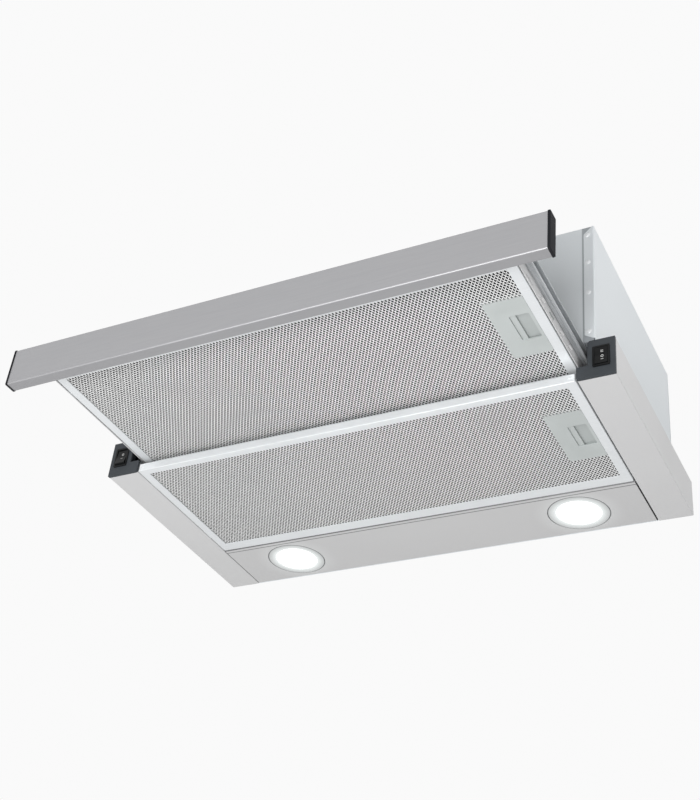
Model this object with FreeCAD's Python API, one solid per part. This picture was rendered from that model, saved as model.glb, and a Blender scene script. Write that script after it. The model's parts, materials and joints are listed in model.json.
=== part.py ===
import FreeCAD, Part

# Pull out range hood, 60 cm wide, modelled with its visor pulled out. Millimetres.
# While it is drawn, x = 0 is the middle of the hood, y = 0 its rear face and z = 0 its underside,
# +X is the right-hand side seen from the front, -Y the front and +Z up. Each piece is then moved so
# that the origin is the middle of the cabinet screw pattern in the top of the casing.

import math
import os

V = FreeCAD.Vector

# ---------------------------------------------------------------- driving dimensions

# clearances
fit = 0.05            # round pins and shanks in their holes
ease = 0.3            # between neighbours that must not bind
slip = 0.1            # sheet metal beside sheet metal

# sheet metal
sheet = 0.8           # casing, skirt and visor sheet
bend = 0.6            # inside radius of a fold

# outside sizes
hood_width = 600.0
case_depth = 279.0
case_height = 200.0
skirt_height = 44.6
skirt_ledge = 20.6    # skirt wider than the casing, on each side
reach = 468.2         # front of the bar to the rear face, visor out

# casing, the upper box that goes up into the cabinet
front_flange = 11.0   # side panel folded over the front panel
flange_low = 49.5     # its lower end
flange_chamfer = 6.5
rear_flange = 12.0
side_foot = 12.0      # lower edge of the side panels inside the skirt
panel_low = 47.0      # lower edge of the front panel
panel_fold = 10.0
tray_fold = 12.0      # down-folded rim of the top panel

# skirt, the two channels below the cabinet
skirt_strip = 39.5    # width seen from below
skirt_upturn = 8.5
skirt_return = 8.0

# switch fascias
fascia_proud = 2.5    # in front of the casing
fascia_plate = 3.0
fascia_arm = 14.7     # height of the arm below the slide
fascia_edge = 0.5     # arm beyond the skirt's inner edge
fascia_corner = 2.5
fascia_chamfer = 2.4
slide_room = 11.3     # from the skirt's inner edge: the slide passes inside this
switch_edge = 14.25   # middle of the switch from the skirt's outer side
switch_z = 23.25
bezel_width = 17.5
bezel_height = 24.5
bezel_proud = 1.2
bezel_lip = 1.1
socket_wall = 1.1
socket_depth = 10.5
rib_height = 1.4
rocker_width = 13.0
rocker_radius = 10.0
rocker_rise = 3.2     # ends of the rocker in front of its pivot
rocker_ridge = 2.4
rocker_back = 3.0
rocker_set = 1.5      # pivot behind the fascia's front
rocker_tilt = 9.0
rocker_pin = 1.0
switch_depth = 19.5
cavity_depth = 9.0
terminal_width = 4.8
terminal_length = 7.0
terminal_pitch = 7.0

# visor
bar_height = 44.5
bar_thick = 13.7
bar_low = 2.2
bar_overhang = 0.9    # wider than the skirt, on each side
bar_lip_low = 22.0
bar_lip_high = 34.0
cap_thick = 2.6
cap_proud = 0.5       # round the bar's section
cap_plug = 14.0
cap_wall = 1.6
cap_soft = 0.8
visor_low = 18.0
wall_rise = 8.5       # visor sides above the middle of the slides
front_rail_height = 22.0
visor_lip = 6.0
visor_overlap = 70.0  # visor sides reach this far behind the front of the rails
rail_fold = 7.5
clip_slot_from = 32.5 # slot near the front of each visor side, behind the bar
clip_slot_length = 18.5
clip_slot_low = 3.2   # above the visor's lower edge
clip_slot_high = 4.1
lug_places = (73.5, 125.5, 150.0)   # lugs along each visor side, behind the bar
lug_length = 7.0
lug_reach = 2.4
lug_thick = 0.8
lug_low = 3.8         # above the visor's lower edge
peg_hole = 0.7        # beside each lug
peg_step = 5.5

# ball bearing slides
slide_rise = 19.0     # middle of the slides above the visor's lower edge
runner_height = 13.5
runner_depth = 7.0
runner_web = 1.0
runner_flange = 1.6
runner_set = 1.0      # runner and visor side, end to end
race_gap = 1.0        # between runner and rail, bridged by the balls
ball_radius = 1.1
ball_set = 4.1        # balls from the visor side
balls_per_row = 4
ball_pitch = 16.0
rail_set = 23.0       # front of the rails behind the casing's front
rail_rear = 6.0
rail_sheet = 1.2
rail_screw_share = 0.1
rail_mouth = 2.7      # from the visor side
cage_sheet = 0.5
cage_bend = 0.1
cage_set = 4.0        # front of the cages behind the front of the rails
bracket_sheet = 1.0
bracket_low = 8.0     # bracket below the middle of the slide
bracket_high = 7.5    # its shelf above the middle of the slide
bracket_leg = 1.5     # its leg below the middle of the slide
bracket_screw = 3.0
bracket_screw_share = 0.2

# filter cassettes
filter_gap = 1.5      # beside the skirt's inner edge
filter_seat = 1.2     # to the lamp panel
filter_proud = 1.2    # rear cassette in front of the casing
front_filter_set = 8.5   # front cassette behind the bar
filter_thick = 9.0
filter_wall = 0.8
filter_side = 10.4    # borders of the mesh window
filter_front = 9.0
filter_back = 15.0
filter_lip = 8.0      # border of the opening above
filter_corner = 2.0
filter_hem = 0.7
corner_rivet = 6.5    # from the cassette's side
corner_rivet_rise = 4.8
corner_rivet_radius = 1.3
net_sheet = 1.0
net_pitch_x = 44.0
net_pitch_y = 36.0
net_strand = 3.5
tab_width = 12.0
tab_thick = 1.2
tab_bead = 1.0        # rolled end of each tab, on the tilt axis
tab_reach = 1.9       # tilt axis beside the cassette
tab_offset = 60.0
hinge_height = 2.5    # tilt axis above the cassette's underside

# filter handle and latch
plate_width = 40.7
plate_depth = 86.0
plate_sheet = 1.3
plate_top = 8.6
plate_rim = 3.0
plate_set_in = 0.1    # plate above the frame's underside
plate_corner = 1.5
plate_set = 4.5       # middle of the plate in front of the middle of the cassette
rim_thick = 1.0
tongue_reach = 4.0
grip_width = 20.0     # the window in the plate
grip_depth = 38.0
grip_gap = 3.0        # from the window to the right-hand edge of the plate
grip_corner = 2.0
pad_width = 6.0
pad_thick = 1.2
finger_wall = 1.4
latch_low = 5.2       # underside of the bolt
latch_floor = 3.6     # floor of the finger recess
latch_thick = 1.6
latch_margin = 1.0    # the latch plate beyond the window
latch_travel = 5.0
latch_gap = 0.4
bolt_width = 12.0
bolt_reach = 3.3      # beyond the cassette's side
bolt_point = 1.0

# lamps
lamp_share = 0.3033   # of the hood's width, from the middle
lamp_panel_depth = 87.0
lamp_panel_upturn = 9.0
lamp_panel_back = 40.0
lamp_forward = 1.0    # lamps in front of the middle of the panel's rear half
ring_radius = 35.2
ring_bevel = 0.5
ring_gap = 0.4
lens_radius = 26.5
lens_thick = 2.0
lens_lip = 1.0
lens_ledge = 1.2      # upper face of the ledge
lens_dome = 0.4
lamp_seat = 2.0       # upper face of the ring
can_radius = 33.0
can_height = 20.0
can_rim = 38.0
can_wall = 1.0
fin_height = 6.0
fin_half = 20.0
fin_pitch = 8.0
fin_thick = 1.6

# blower
duct_y = 150.0        # middle of the duct outlet, before the rear face
duct_radius = 60.0
duct_wall = 1.5
collar_height = 38.0
collar_rim = 72.0
collar_rim_thick = 2.0
axis_y = 126.0
axis_z = 124.0
scroll_start = 59.5
scroll_end = 80.0
scroll_wall = 2.0
scroll_half = 59.0
outlet_depth = 112.0
outlet_rim = 9.0
outlet_rim_thick = 2.0
cutoff_angle = 57.0
cutoff_rise = 6.0
inlet_radius = 45.0
inlet_rise = 7.0
inlet_wall = 2.0
wheel_radius = 55.0
wheel_half = 53.0
wheel_ring = 2.0
wheel_disc = 2.0
blade_count = 36
blade_depth = 11.0
blade_thick = 0.9
blade_lean = 7.0      # outer edge ahead of the inner edge, in degrees
hub_radius = 11.0
hub_half = 6.0
shaft_radius = 4.0
shaft_tail = 8.0
shaft_bevel = 0.5
motor_radius = 35.0
motor_from = 10.0
motor_to = 66.0
motor_boss = 12.0
bell = 4.0            # rounding of the motor's ends
motor_ribs = 12
rib_depth = 1.2
rib_thick = 1.6
bracket_ring_in = 14.0
bracket_ring_out = 24.0
bracket_thick = 2.0
arm_count = 3
arm_width = 12.0
arm_from = 20.0
arm_knee = 58.0
arm_reach = 66.0

# damper flaps
flap_radius = 56.8
flap_thick = 1.2
flap_gap = 3.0        # each hinge line from the middle of the duct
flap_z = 12.0         # hinge line above the casing
flap_pin = 1.2
flap_roll = 1.8
seat_width = 3.0
boss_depth = 4.0
boss_half = 3.0

# fasteners
rivet_radius = 1.6
rivet_head = 3.2
rivet_rise = 1.1
rivet_edge = 6.8      # rivets from the casing's side
rivet_top = 11.0      # first rivet from the casing's top
rivet_low = 59.3      # last rivet
rivet_shares = (0.0, 0.39, 0.705, 1.0)   # of the way from the last rivet up to the first
screw_radius = 2.0
screw_head = 3.6
screw_rise = 1.0
screw_tail = 1.5
screw_taper = 0.6

# fixing to the cabinet and mains inlet
mount_y = 140.0
mount_span_x = 460.0
mount_span_y = 180.0
mount_hole = 2.6
gland_inset = 79.4    # from the casing's right side
gland_y = 60.0
gland_bore = 4.0
gland_neck = 6.5
gland_rim = 9.5
gland_flange = 1.6
gland_length = 12.0

# driver box of the lamps
driver_inset = 109.4  # from the casing's left side
driver_y = 85.0
driver_width = 90.0
driver_depth = 60.0
driver_height = 30.0
driver_corner = 4.0
lid_line = 21.0
lid_thick = 2.0
lid_proud = 2.0
ear_radius = 4.0
ear_reach = 6.0
outlet_radius = 5.0
outlet_length = 8.0
outlet_pitch = 15.0
outlet_drop = 3.0     # outlets above the middle of the box

# ---------------------------------------------------------------- derived places

case_x = hood_width / 2 - skirt_ledge
gland_x = case_x - gland_inset
driver_x = case_x - driver_inset
skirt_x = hood_width / 2
strip_x = skirt_x - skirt_strip
fascia_front = case_depth + fascia_proud
fascia_slot = strip_x + slide_room
switch_x = skirt_x - switch_edge
slide_z = visor_low + slide_rise
visor_high = slide_z + wall_rise
front_rail_high = visor_low + front_rail_height
rocker_pivot = fascia_front - rocker_set
socket_half_x = bezel_width / 2 - bezel_lip
socket_half_z = bezel_height / 2 - bezel_lip
wall_out = strip_x + sheet - slip          # visor side, outer face
wall_in = wall_out - sheet
runner_out = wall_out + runner_depth
ball_x = wall_out + ball_set
race_z = runner_height / 2 + race_gap / 2
race_radius = ball_radius + fit
rail_half = runner_height / 2 + race_gap + rail_sheet
rail_mouth_x = wall_out + rail_mouth
cage_back = runner_out + ease + cage_sheet
rail_back = cage_back + screw_rise + ease + slip + rail_sheet
case_inner = case_x - sheet
rail_front = case_depth - rail_set
visor_rear = rail_front - visor_overlap
cage_front = rail_front - cage_set
side_foot_front = rail_front
bar_rear = reach - bar_thick
bar_half = skirt_x + bar_overhang - cap_thick
filter_half = strip_x - filter_gap
rear_filter_front = case_depth + filter_proud
filter_depth = rear_filter_front - lamp_panel_depth - filter_seat
front_filter_front = bar_rear - front_filter_set
plate_right = filter_half - filter_side - ease
plate_left = plate_right - plate_width
grip_right = plate_right - grip_gap
grip_left = grip_right - grip_width
lamp_x = hood_width * lamp_share
lamp_y = lamp_panel_depth / 2 - lamp_forward
scroll_front = axis_y + scroll_end
outlet_rear = scroll_front - outlet_depth


# ---------------------------------------------------------------- drawing helpers

def spot(plane, u, v, level):
    """The point (u, v) of a drawing plane, at a level along the axis that is left."""
    return {"xy": V(u, v, level), "xz": V(u, level, v), "yz": V(level, u, v)}[plane]


def outline(points, plane, level, radii=0.0):
    """A closed wire through the points, each corner rounded by its radius."""
    count = len(points)
    if not isinstance(radii, (list, tuple)):
        radii = [radii] * count
    legs = []
    for i, (u, v) in enumerate(points):
        before = points[i - 1]
        after = points[(i + 1) % count]
        a = V(before[0] - u, before[1] - v, 0).normalize()
        b = V(after[0] - u, after[1] - v, 0).normalize()
        half = a.getAngle(b) / 2
        if radii[i] <= 0 or half > math.pi / 2 - 1e-6:
            legs.append(((u, v), None, (u, v)))
            continue
        back = radii[i] / math.tan(half)
        middle = (a + b).normalize() * (radii[i] / math.sin(half) - radii[i])
        legs.append(((u + a.x * back, v + a.y * back), (u + middle.x, v + middle.y),
                     (u + b.x * back, v + b.y * back)))
    edges = []
    for i, (start, middle, end) in enumerate(legs):
        if middle:
            arc = Part.Arc(*(spot(plane, *p, level) for p in (start, middle, end)))
            edges.append(arc.toShape())
        here, there = spot(plane, *end, level), spot(plane, *legs[(i + 1) % count][0], level)
        if (there - here).Length > 1e-6:
            edges.append(Part.makeLine(here, there))
    return Part.Wire(edges)


def circle(plane, u, v, radius, level):
    normal = {"xy": V(0, 0, 1), "xz": V(0, 1, 0), "yz": V(1, 0, 0)}[plane]
    return Part.Wire(Part.makeCircle(radius, spot(plane, u, v, level), normal))


def prism(points, plane, start, end, radii=0.0, holes=()):
    """The outline pulled along the axis from start to end; each hole is (u, v, radius)."""
    wires = [outline(points, plane, start, radii)]
    wires += [circle(plane, u, v, r, start) for u, v, r in holes]
    face = Part.makeFace(wires, "Part::FaceMakerBullseye")
    return face.extrude(spot(plane, 0, 0, end - start))


def box(x0, x1, y0, y1, z0, z1, radius=0.0):
    """A block with its upright edges rounded."""
    return prism([(x0, y0), (x1, y0), (x1, y1), (x0, y1)], "xy", z0, z1, radius)


def folded(path, thick=sheet, inside=bend):
    """Outline and corner radii of a folded sheet whose material lies to the left of the path."""
    steps = [V(b[0] - a[0], b[1] - a[1], 0).normalize() for a, b in zip(path, path[1:])]
    offset = []
    for i, (u, v) in enumerate(path):
        first = steps[max(i - 1, 0)]
        last = steps[min(i, len(steps) - 1)]
        left = V(-first.y - last.y, first.x + last.x, 0)
        left = left * (thick / (1 + first.dot(last)))
        offset.append((u + left.x, v + left.y))
    turns = [a.x * b.y - a.y * b.x > 0 for a, b in zip(steps, steps[1:])]
    outer = [inside + thick if left else inside for left in turns]
    inner = [inside if left else inside + thick for left in turns]
    radii = [0.0] + outer + [0.0, 0.0] + inner[::-1] + [0.0]
    return path + offset[::-1], radii


def sheet_prism(path, plane, start, end, thick=sheet, inside=bend):
    points, radii = folded(path, thick, inside)
    return prism(points, plane, start, end, radii)


def rod(axis, centre, radius, length):
    way = {"x": V(1, 0, 0), "y": V(0, 1, 0), "z": V(0, 0, 1)}[axis]
    return Part.makeCylinder(radius, length, V(*centre), way)


def turned(profile, centre, axis="z"):
    """A body of revolution: profile holds (radius, height) corners, round the axis at centre."""
    if axis == "z":
        points = [V(centre[0] + r, centre[1], centre[2] + h) for r, h in profile]
        way = V(0, 0, 1)
    elif axis == "y":
        points = [V(centre[0] + r, centre[1] + h, centre[2]) for r, h in profile]
        way = V(0, 1, 0)
    else:
        points = [V(centre[0] + h, centre[1] + r, centre[2]) for r, h in profile]
        way = V(1, 0, 0)
    face = Part.Face(Part.makePolygon(points + [points[0]]))
    return face.revolve(V(*centre), way, 360)


def fused(first, *others):
    return first.fuse(list(others)).removeSplitter()


def mirrored(shape):
    return shape.mirror(V(0, 0, 0), V(1, 0, 0))


def save(name, *shapes):
    """Write one node: every solid of the shapes, moved to the row's origin."""
    solids = [s for shape in shapes for s in shape.Solids]
    group = Part.makeCompound(solids) if len(solids) > 1 else solids[0].copy()
    group.translate(V(0, mount_y, -case_height))
    assert all(s.isValid() and s.Volume > 0 for s in solids), name
    os.makedirs("parts", exist_ok=True)
    group.exportStep(f"parts/{name}.step")


def save_pair(name, shape):
    save(f"{name}_right", shape)
    save(f"{name}_left", mirrored(shape))


# ---------------------------------------------------------------- casing

def rivet_places():
    x = case_x - rivet_edge
    rise = case_height - rivet_top - rivet_low
    return [(s * x, rivet_low + rise * share) for s in (-1, 1) for share in rivet_shares]


def casing_side():
    """Right side panel: its front flange laps over the front panel, its foot carries the slide."""
    rear = -sheet
    upper = sheet_prism([(case_x - front_flange, -case_depth), (case_x, -case_depth),
                         (case_x, rear), (case_x - rear_flange, rear)],
                        "xy", flange_low, case_height)
    foot = prism([(-case_depth + sheet + bend, flange_low), (-case_depth + sheet + bend, skirt_height),
                  (-side_foot_front, skirt_height), (-side_foot_front, side_foot), (rear, side_foot),
                  (rear, flange_low)],
                 "yz", case_x - sheet, case_x, [0, 0, 3, 3, 0, 0])
    inner = case_x - front_flange
    corner = case_x - sheet - bend
    mitre = prism([(inner - 1, case_height + 1), (corner, case_height + 1), (corner, case_height),
                   (inner - 1, case_height - corner + inner - 1)],
                  "xz", -case_depth - 1, -case_depth + sheet)
    chamfer = prism([(inner - 1, flange_low - 1), (corner, flange_low - 1), (corner, flange_low),
                     (inner - 1, flange_low + flange_chamfer)],
                    "xz", -case_depth - 1, -case_depth + sheet)
    holes = [rod("y", (x, -case_depth - 1, z), rivet_radius + fit, sheet + 2)
             for x, z in rivet_places() if x > 0]
    holes += bracket_screw_holes()
    return fused(upper, foot).cut([mitre, chamfer] + holes)


def casing_front():
    """Front panel with a stiffening fold along its lower edge."""
    face = -case_depth + sheet
    half = case_x - sheet - bend - slip
    panel = sheet_prism([(face, case_height - slip), (face, panel_low), (face + panel_fold, panel_low)],
                        "yz", -half, half)
    holes = [rod("y", (x, face - 1, z), rivet_radius + fit, sheet + 2) for x, z in rivet_places()]
    return panel.cut(holes)


def casing_rear():
    """Rear panel, narrower where it goes down between the skirts."""
    low = strip_x - ease
    points = [(-low, 0.2), (low, 0.2), (low, skirt_height), (case_x, skirt_height),
              (case_x, case_height), (-case_x, case_height), (-case_x, skirt_height),
              (-low, skirt_height)]
    return prism(points, "xz", -sheet, 0)


def cabinet_holes():
    return [(sx * mount_span_x / 2, -mount_y + sy * mount_span_y / 2) for sx in (-1, 1) for sy in (-1, 1)]


def casing_top():
    """Top panel with its rim folded down inside the other panels."""
    x = case_x - sheet
    front = -case_depth + 2 * sheet
    rear = -2 * sheet
    low = case_height - tray_fold
    tray = box(-x, x, front, rear, low, case_height, bend + sheet)
    tray = tray.cut(box(-x + sheet, x - sheet, front + sheet, rear - sheet, low - 1,
                        case_height - sheet, bend))
    holes = [rod("z", (0, -duct_y, case_height - 3), duct_radius - duct_wall, 6),
             rod("z", (gland_x, -gland_y, case_height - 3), gland_neck + fit, 6)]
    holes += [rod("z", (u, v, case_height - 3), mount_hole, 6) for u, v in cabinet_holes()]
    holes += [rod("z", (u, v, case_height - 3), screw_radius + fit, 6) for u, v in collar_screw_places()]
    return tray.cut(holes)


def casing_rivets():
    """Dome rivets through the side flanges and the front panel."""
    profile = [(0, 0), (rivet_radius, 0), (rivet_radius, 2 * sheet), (0, 2 * sheet)]
    head = [(0, -rivet_rise), (rivet_head * 0.6, -rivet_rise * 0.75), (rivet_head, 0), (0, 0)]
    rivets = []
    for x, z in rivet_places():
        centre = (x, -case_depth, z)
        rivets.append(fused(turned(profile, centre, "y"), turned(head, centre, "y")))
    return rivets


# ---------------------------------------------------------------- skirt and fascias

def skirt(openings):
    """Right skirt channel; openings are the places (y, length, low, high) cut in its inner edge."""
    front = -fascia_front + fascia_plate
    channel = sheet_prism([(strip_x, skirt_upturn), (strip_x, 0), (skirt_x, 0),
                           (skirt_x, skirt_height), (case_x, skirt_height),
                           (case_x, skirt_height - skirt_return)], "xz", front, 0)
    inset = sheet + bend
    end = prism([(strip_x, inset), (strip_x + inset, sheet / 2), (skirt_x - inset, sheet / 2),
                 (skirt_x - sheet / 2, inset), (skirt_x - sheet / 2, skirt_height - inset),
                 (skirt_x - inset, skirt_height - sheet / 2), (strip_x, skirt_height - sheet / 2)],
                "xz", -sheet, 0)
    cuts = [box(strip_x - 1, strip_x + sheet + ease, y - length / 2, y + length / 2, low, high)
            for y, length, low, high in openings]
    return fused(channel, end).cut(cuts + bracket_screw_holes())


def switch_fascia():
    """Dark plastic end of the skirt: a plate that leaves room for the slide, and a socket."""
    top = skirt_height
    left = strip_x - fascia_edge
    plate = prism([(left, 0), (skirt_x, 0), (skirt_x, top), (fascia_slot + fascia_chamfer, top),
                   (fascia_slot, top - fascia_chamfer), (fascia_slot, fascia_arm), (left, fascia_arm)],
                  "xz", -fascia_front, -fascia_front + fascia_plate,
                  [fascia_corner, bend, bend, 0, 0, bend, bend])
    half_x = socket_half_x + socket_wall
    half_z = socket_half_z + socket_wall
    socket = [(switch_x - half_x, switch_z - half_z), (switch_x + half_x, switch_z - half_z),
              (switch_x + half_x, switch_z + half_z), (switch_x - half_x, switch_z + half_z)]
    back = -fascia_front + fascia_plate
    tube = prism(socket, "xz", back, back + socket_depth, socket_wall)
    hole = box(switch_x - socket_half_x, switch_x + socket_half_x, -fascia_front - 1,
               back + socket_depth + 1, switch_z - socket_half_z, switch_z + socket_half_z)
    inset = sheet + ease
    rib = box(strip_x + inset, skirt_x - inset - bend, back, back + socket_depth, inset, inset + rib_height)
    return fused(plate, tube, rib).cut(hole)


def switch_body():
    """Rocker switch housing: bezel, body with its cavity and pivot holes, three terminals."""
    half_x = socket_half_x - fit
    half_z = socket_half_z - fit
    bezel = [(switch_x - bezel_width / 2, switch_z - bezel_height / 2),
             (switch_x + bezel_width / 2, switch_z - bezel_height / 2),
             (switch_x + bezel_width / 2, switch_z + bezel_height / 2),
             (switch_x - bezel_width / 2, switch_z + bezel_height / 2)]
    front = prism(bezel, "xz", -fascia_front - bezel_proud, -fascia_front, bezel_lip)
    back = -fascia_front + switch_depth
    body = box(switch_x - half_x, switch_x + half_x, -fascia_front, back,
               switch_z - half_z, switch_z + half_z)
    blades = [box(switch_x - terminal_width / 2, switch_x + terminal_width / 2, back,
                  back + terminal_length, z - sheet / 2, z + sheet / 2)
              for z in (switch_z - terminal_pitch, switch_z, switch_z + terminal_pitch)]
    inside = rocker_width / 2 + ease
    cavity = box(switch_x - inside, switch_x + inside, -fascia_front - bezel_proud - 1,
                 -fascia_front + cavity_depth, switch_z - rocker_radius - ease,
                 switch_z + rocker_radius + ease)
    depth = rocker_pin + fit
    pins = rod("x", (switch_x - inside - depth, -rocker_pivot, switch_z), depth, 2 * (inside + depth))
    return fused(front, body, *blades).cut([cavity, pins])


def rocker():
    """The rocker, level: two facets that meet at a low ridge, ends curved round the pivot."""
    half = rocker_width / 2
    high = math.sqrt(rocker_radius ** 2 - rocker_rise ** 2)
    low = math.sqrt(rocker_radius ** 2 - rocker_back ** 2)

    def p(dy, dz):
        return V(switch_x - half, -rocker_pivot + dy, switch_z + dz)

    edges = [Part.makeLine(p(-rocker_rise, high), p(-rocker_ridge, 0)),
             Part.makeLine(p(-rocker_ridge, 0), p(-rocker_rise, -high)),
             Part.Arc(p(-rocker_rise, -high), p(0, -rocker_radius), p(rocker_back, -low)).toShape(),
             Part.makeLine(p(rocker_back, -low), p(rocker_back, low)),
             Part.Arc(p(rocker_back, low), p(0, rocker_radius), p(-rocker_rise, high)).toShape()]
    body = Part.Face(Part.Wire(edges)).extrude(V(rocker_width, 0, 0))
    pins = rod("x", (switch_x - half - rocker_pin, -rocker_pivot, switch_z), rocker_pin,
               rocker_width + 2 * rocker_pin)
    return fused(body, pins)


# ---------------------------------------------------------------- lamp panel and lamps

def lamp_panel():
    half = strip_x - 2 * ease
    channel = sheet_prism([(-lamp_panel_depth, lamp_panel_upturn), (-lamp_panel_depth, 0), (-sheet, 0),
                           (-sheet, lamp_panel_back)], "yz", -half, half)
    holes = [rod("z", (x, -lamp_y, -1), ring_radius + ring_gap, sheet + 2) for x in (-lamp_x, lamp_x)]
    return channel.cut(holes)


def lamp_ring():
    """Flat bezel in the hole of the panel, with a ledge that carries the lens."""
    lip = lens_radius - lens_lip
    inside = lens_radius + ring_gap
    return turned([(lip, ring_bevel / 2), (ring_radius - ring_bevel, 0), (ring_radius, ring_bevel),
                   (ring_radius, lamp_seat), (inside, lamp_seat), (inside, lens_ledge), (lip, lens_ledge)],
                  (lamp_x, -lamp_y, 0))


def lamp_lens():
    """Diffusing disc, a little domed, on the ledge of the ring."""
    low = lens_ledge + fit
    return turned([(0, low - lens_dome), (lens_radius * 0.7, low - lens_dome / 2),
                   (lens_radius - lens_lip - ring_bevel, low), (lens_radius, low),
                   (lens_radius, low + lens_thick), (0, low + lens_thick)], (lamp_x, -lamp_y, 0))


def lamp_can():
    """Aluminium can of the lamp, its rim on the panel and on the ring, with cooling fins."""
    inside = lens_radius + ring_gap
    floor = lamp_seat + can_wall
    can = turned([(0, can_height - can_wall), (can_radius - can_wall, can_height - can_wall),
                  (can_radius - can_wall, floor), (inside, floor), (inside, lamp_seat),
                  (ring_radius + ring_gap, lamp_seat), (ring_radius + ring_gap, sheet), (can_rim, sheet),
                  (can_rim, floor), (can_radius, floor), (can_radius, can_height), (0, can_height)],
                 (lamp_x, -lamp_y, 0))
    fins = [box(lamp_x - fin_half, lamp_x + fin_half, -lamp_y + i * fin_pitch - fin_thick / 2,
                -lamp_y + i * fin_pitch + fin_thick / 2, can_height - can_wall / 2, can_height + fin_height)
            for i in range(-2, 3)]
    return fused(can, *fins)


# ---------------------------------------------------------------- slides

def screw_places(front, rear, ends):
    """Three places along y between two ends; the outer ones lie a share of the length inside."""
    length = front - rear
    return [-front + length * share for share in (ends, 0.5, 1 - ends)]


def rail_screw_places():
    return screw_places(rail_front, rail_rear, rail_screw_share)


def runner_screw_places():
    return screw_places(bar_rear, visor_rear, rail_screw_share)


def bracket_screw_places():
    return screw_places(rail_front, rail_rear, bracket_screw_share)


def bracket_screw_holes():
    return [rod("x", (case_inner - 3, y, slide_z + bracket_screw), screw_radius + fit, 8)
            for y in bracket_screw_places()]


def race_channels(front, rear):
    return [rod("y", (ball_x, -front - 1, slide_z + s * race_z), race_radius, front - rear + 2)
            for s in (-1, 1)]


def slide_bracket():
    """Folded sheet that hangs the fixed rail on the casing side."""
    near, far = rail_back + bracket_sheet, case_inner - bracket_sheet
    top = slide_z + bracket_high
    path = [(near, slide_z - bracket_low), (near, top), (far, top), (far, slide_z - bracket_leg)]
    folds = sheet_prism(path, "xz", -rail_front, -rail_rear, bracket_sheet)
    holes = [rod("x", (rail_back - 1, y, slide_z), screw_radius + fit, bracket_sheet + 2)
             for y in rail_screw_places()]
    return folds.cut(holes + bracket_screw_holes())


def slide_rail():
    """Fixed half: a C channel with a groove for the balls in each flange."""
    channel = sheet_prism([(rail_mouth_x, slide_z - rail_half), (rail_back, slide_z - rail_half),
                           (rail_back, slide_z + rail_half), (rail_mouth_x, slide_z + rail_half)],
                          "xz", -rail_front, -rail_rear, rail_sheet)
    holes = [rod("x", (rail_back - rail_sheet - 1, y, slide_z), screw_radius + fit, rail_sheet + 2)
             for y in rail_screw_places()]
    return channel.cut(race_channels(rail_front, rail_rear) + holes)


def slide_runner():
    """Moving half: a channel with a groove for the balls along each edge."""
    half = runner_height / 2
    web = wall_out + runner_web
    inner = half - runner_flange
    points = [(wall_out, -half), (runner_out, -half), (runner_out, -inner), (web, -inner),
              (web, inner), (runner_out, inner), (runner_out, half), (wall_out, half)]
    channel = prism([(x, slide_z + z) for x, z in points], "xz", -bar_rear + runner_set,
                    -visor_rear + runner_set, [bend, bend, 0, bend, bend, 0, bend, bend])
    holes = [rod("x", (wall_out - 1, y, slide_z), screw_radius + fit, runner_web + 2)
             for y in runner_screw_places()]
    return channel.cut(race_channels(bar_rear, visor_rear - runner_set) + holes)


def ball_places():
    """Places (y, z) of the balls of one slide, in two rows."""
    first = -cage_front + ball_pitch / 2
    return [(first + i * ball_pitch, slide_z + s * race_z) for i in range(balls_per_row) for s in (-1, 1)]


def ball_cage():
    """U-shaped strip between runner and rail that keeps the balls apart."""
    half = race_z + cage_sheet / 2
    mouth = rail_mouth_x - ease
    cage = sheet_prism([(mouth, slide_z - half), (cage_back, slide_z - half),
                        (cage_back, slide_z + half), (mouth, slide_z + half)],
                       "xz", -cage_front, -cage_front + ball_pitch * balls_per_row, cage_sheet, cage_bend)
    holes = [rod("z", (ball_x, y, z - 1), race_radius, 2) for y, z in ball_places()]
    return cage.cut(holes)


def slide_balls():
    right = [Part.makeSphere(ball_radius, V(ball_x, y, z)) for y, z in ball_places()]
    return right + [mirrored(ball) for ball in right]


def pan_screw(centre, axis, grip):
    """A pan head screw: head outside the plane through its centre, shank along the axis."""
    tip = grip + screw_tail
    profile = [(0, -screw_rise), (screw_head * 0.8, -screw_rise), (screw_head, 0), (screw_radius, 0),
               (screw_radius, tip - screw_taper), (screw_radius - screw_taper, tip), (0, tip)]
    return turned(profile, centre, axis)


def casing_screws():
    """Screws of the fixed rails, of their brackets and of the duct collar."""
    web = rail_back - rail_sheet
    out = case_inner - bracket_sheet
    right = [pan_screw((web, y, slide_z), "x", rail_sheet + bracket_sheet) for y in rail_screw_places()]
    right += [pan_screw((out, y, slide_z + bracket_screw), "x", bracket_sheet + 2 * sheet)
              for y in bracket_screw_places()]
    collar = [pan_screw((0, 0, 0), "z", collar_rim_thick + sheet) for _ in collar_screw_places()]
    for screw, (u, v) in zip(collar, collar_screw_places()):
        screw.rotate(V(0, 0, 0), V(1, 0, 0), 180)
        screw.translate(V(u, v, case_height + collar_rim_thick))
    return right + [mirrored(s) for s in right] + collar


def visor_screws():
    """Short rivet screws of the runners: heads in the channel, shanks through the visor sides."""
    length = runner_web + sheet + ease
    head = [(0, 0), (0, length), (screw_radius, length), (screw_radius, 0), (screw_head, 0),
            (screw_head * 0.8, -screw_rise), (0, -screw_rise)]
    left = [turned([(r, h) for r, h in head], (-wall_out - runner_web, y, slide_z), "x")
            for y in runner_screw_places()]
    return left + [mirrored(s) for s in left]


# ---------------------------------------------------------------- visor

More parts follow.
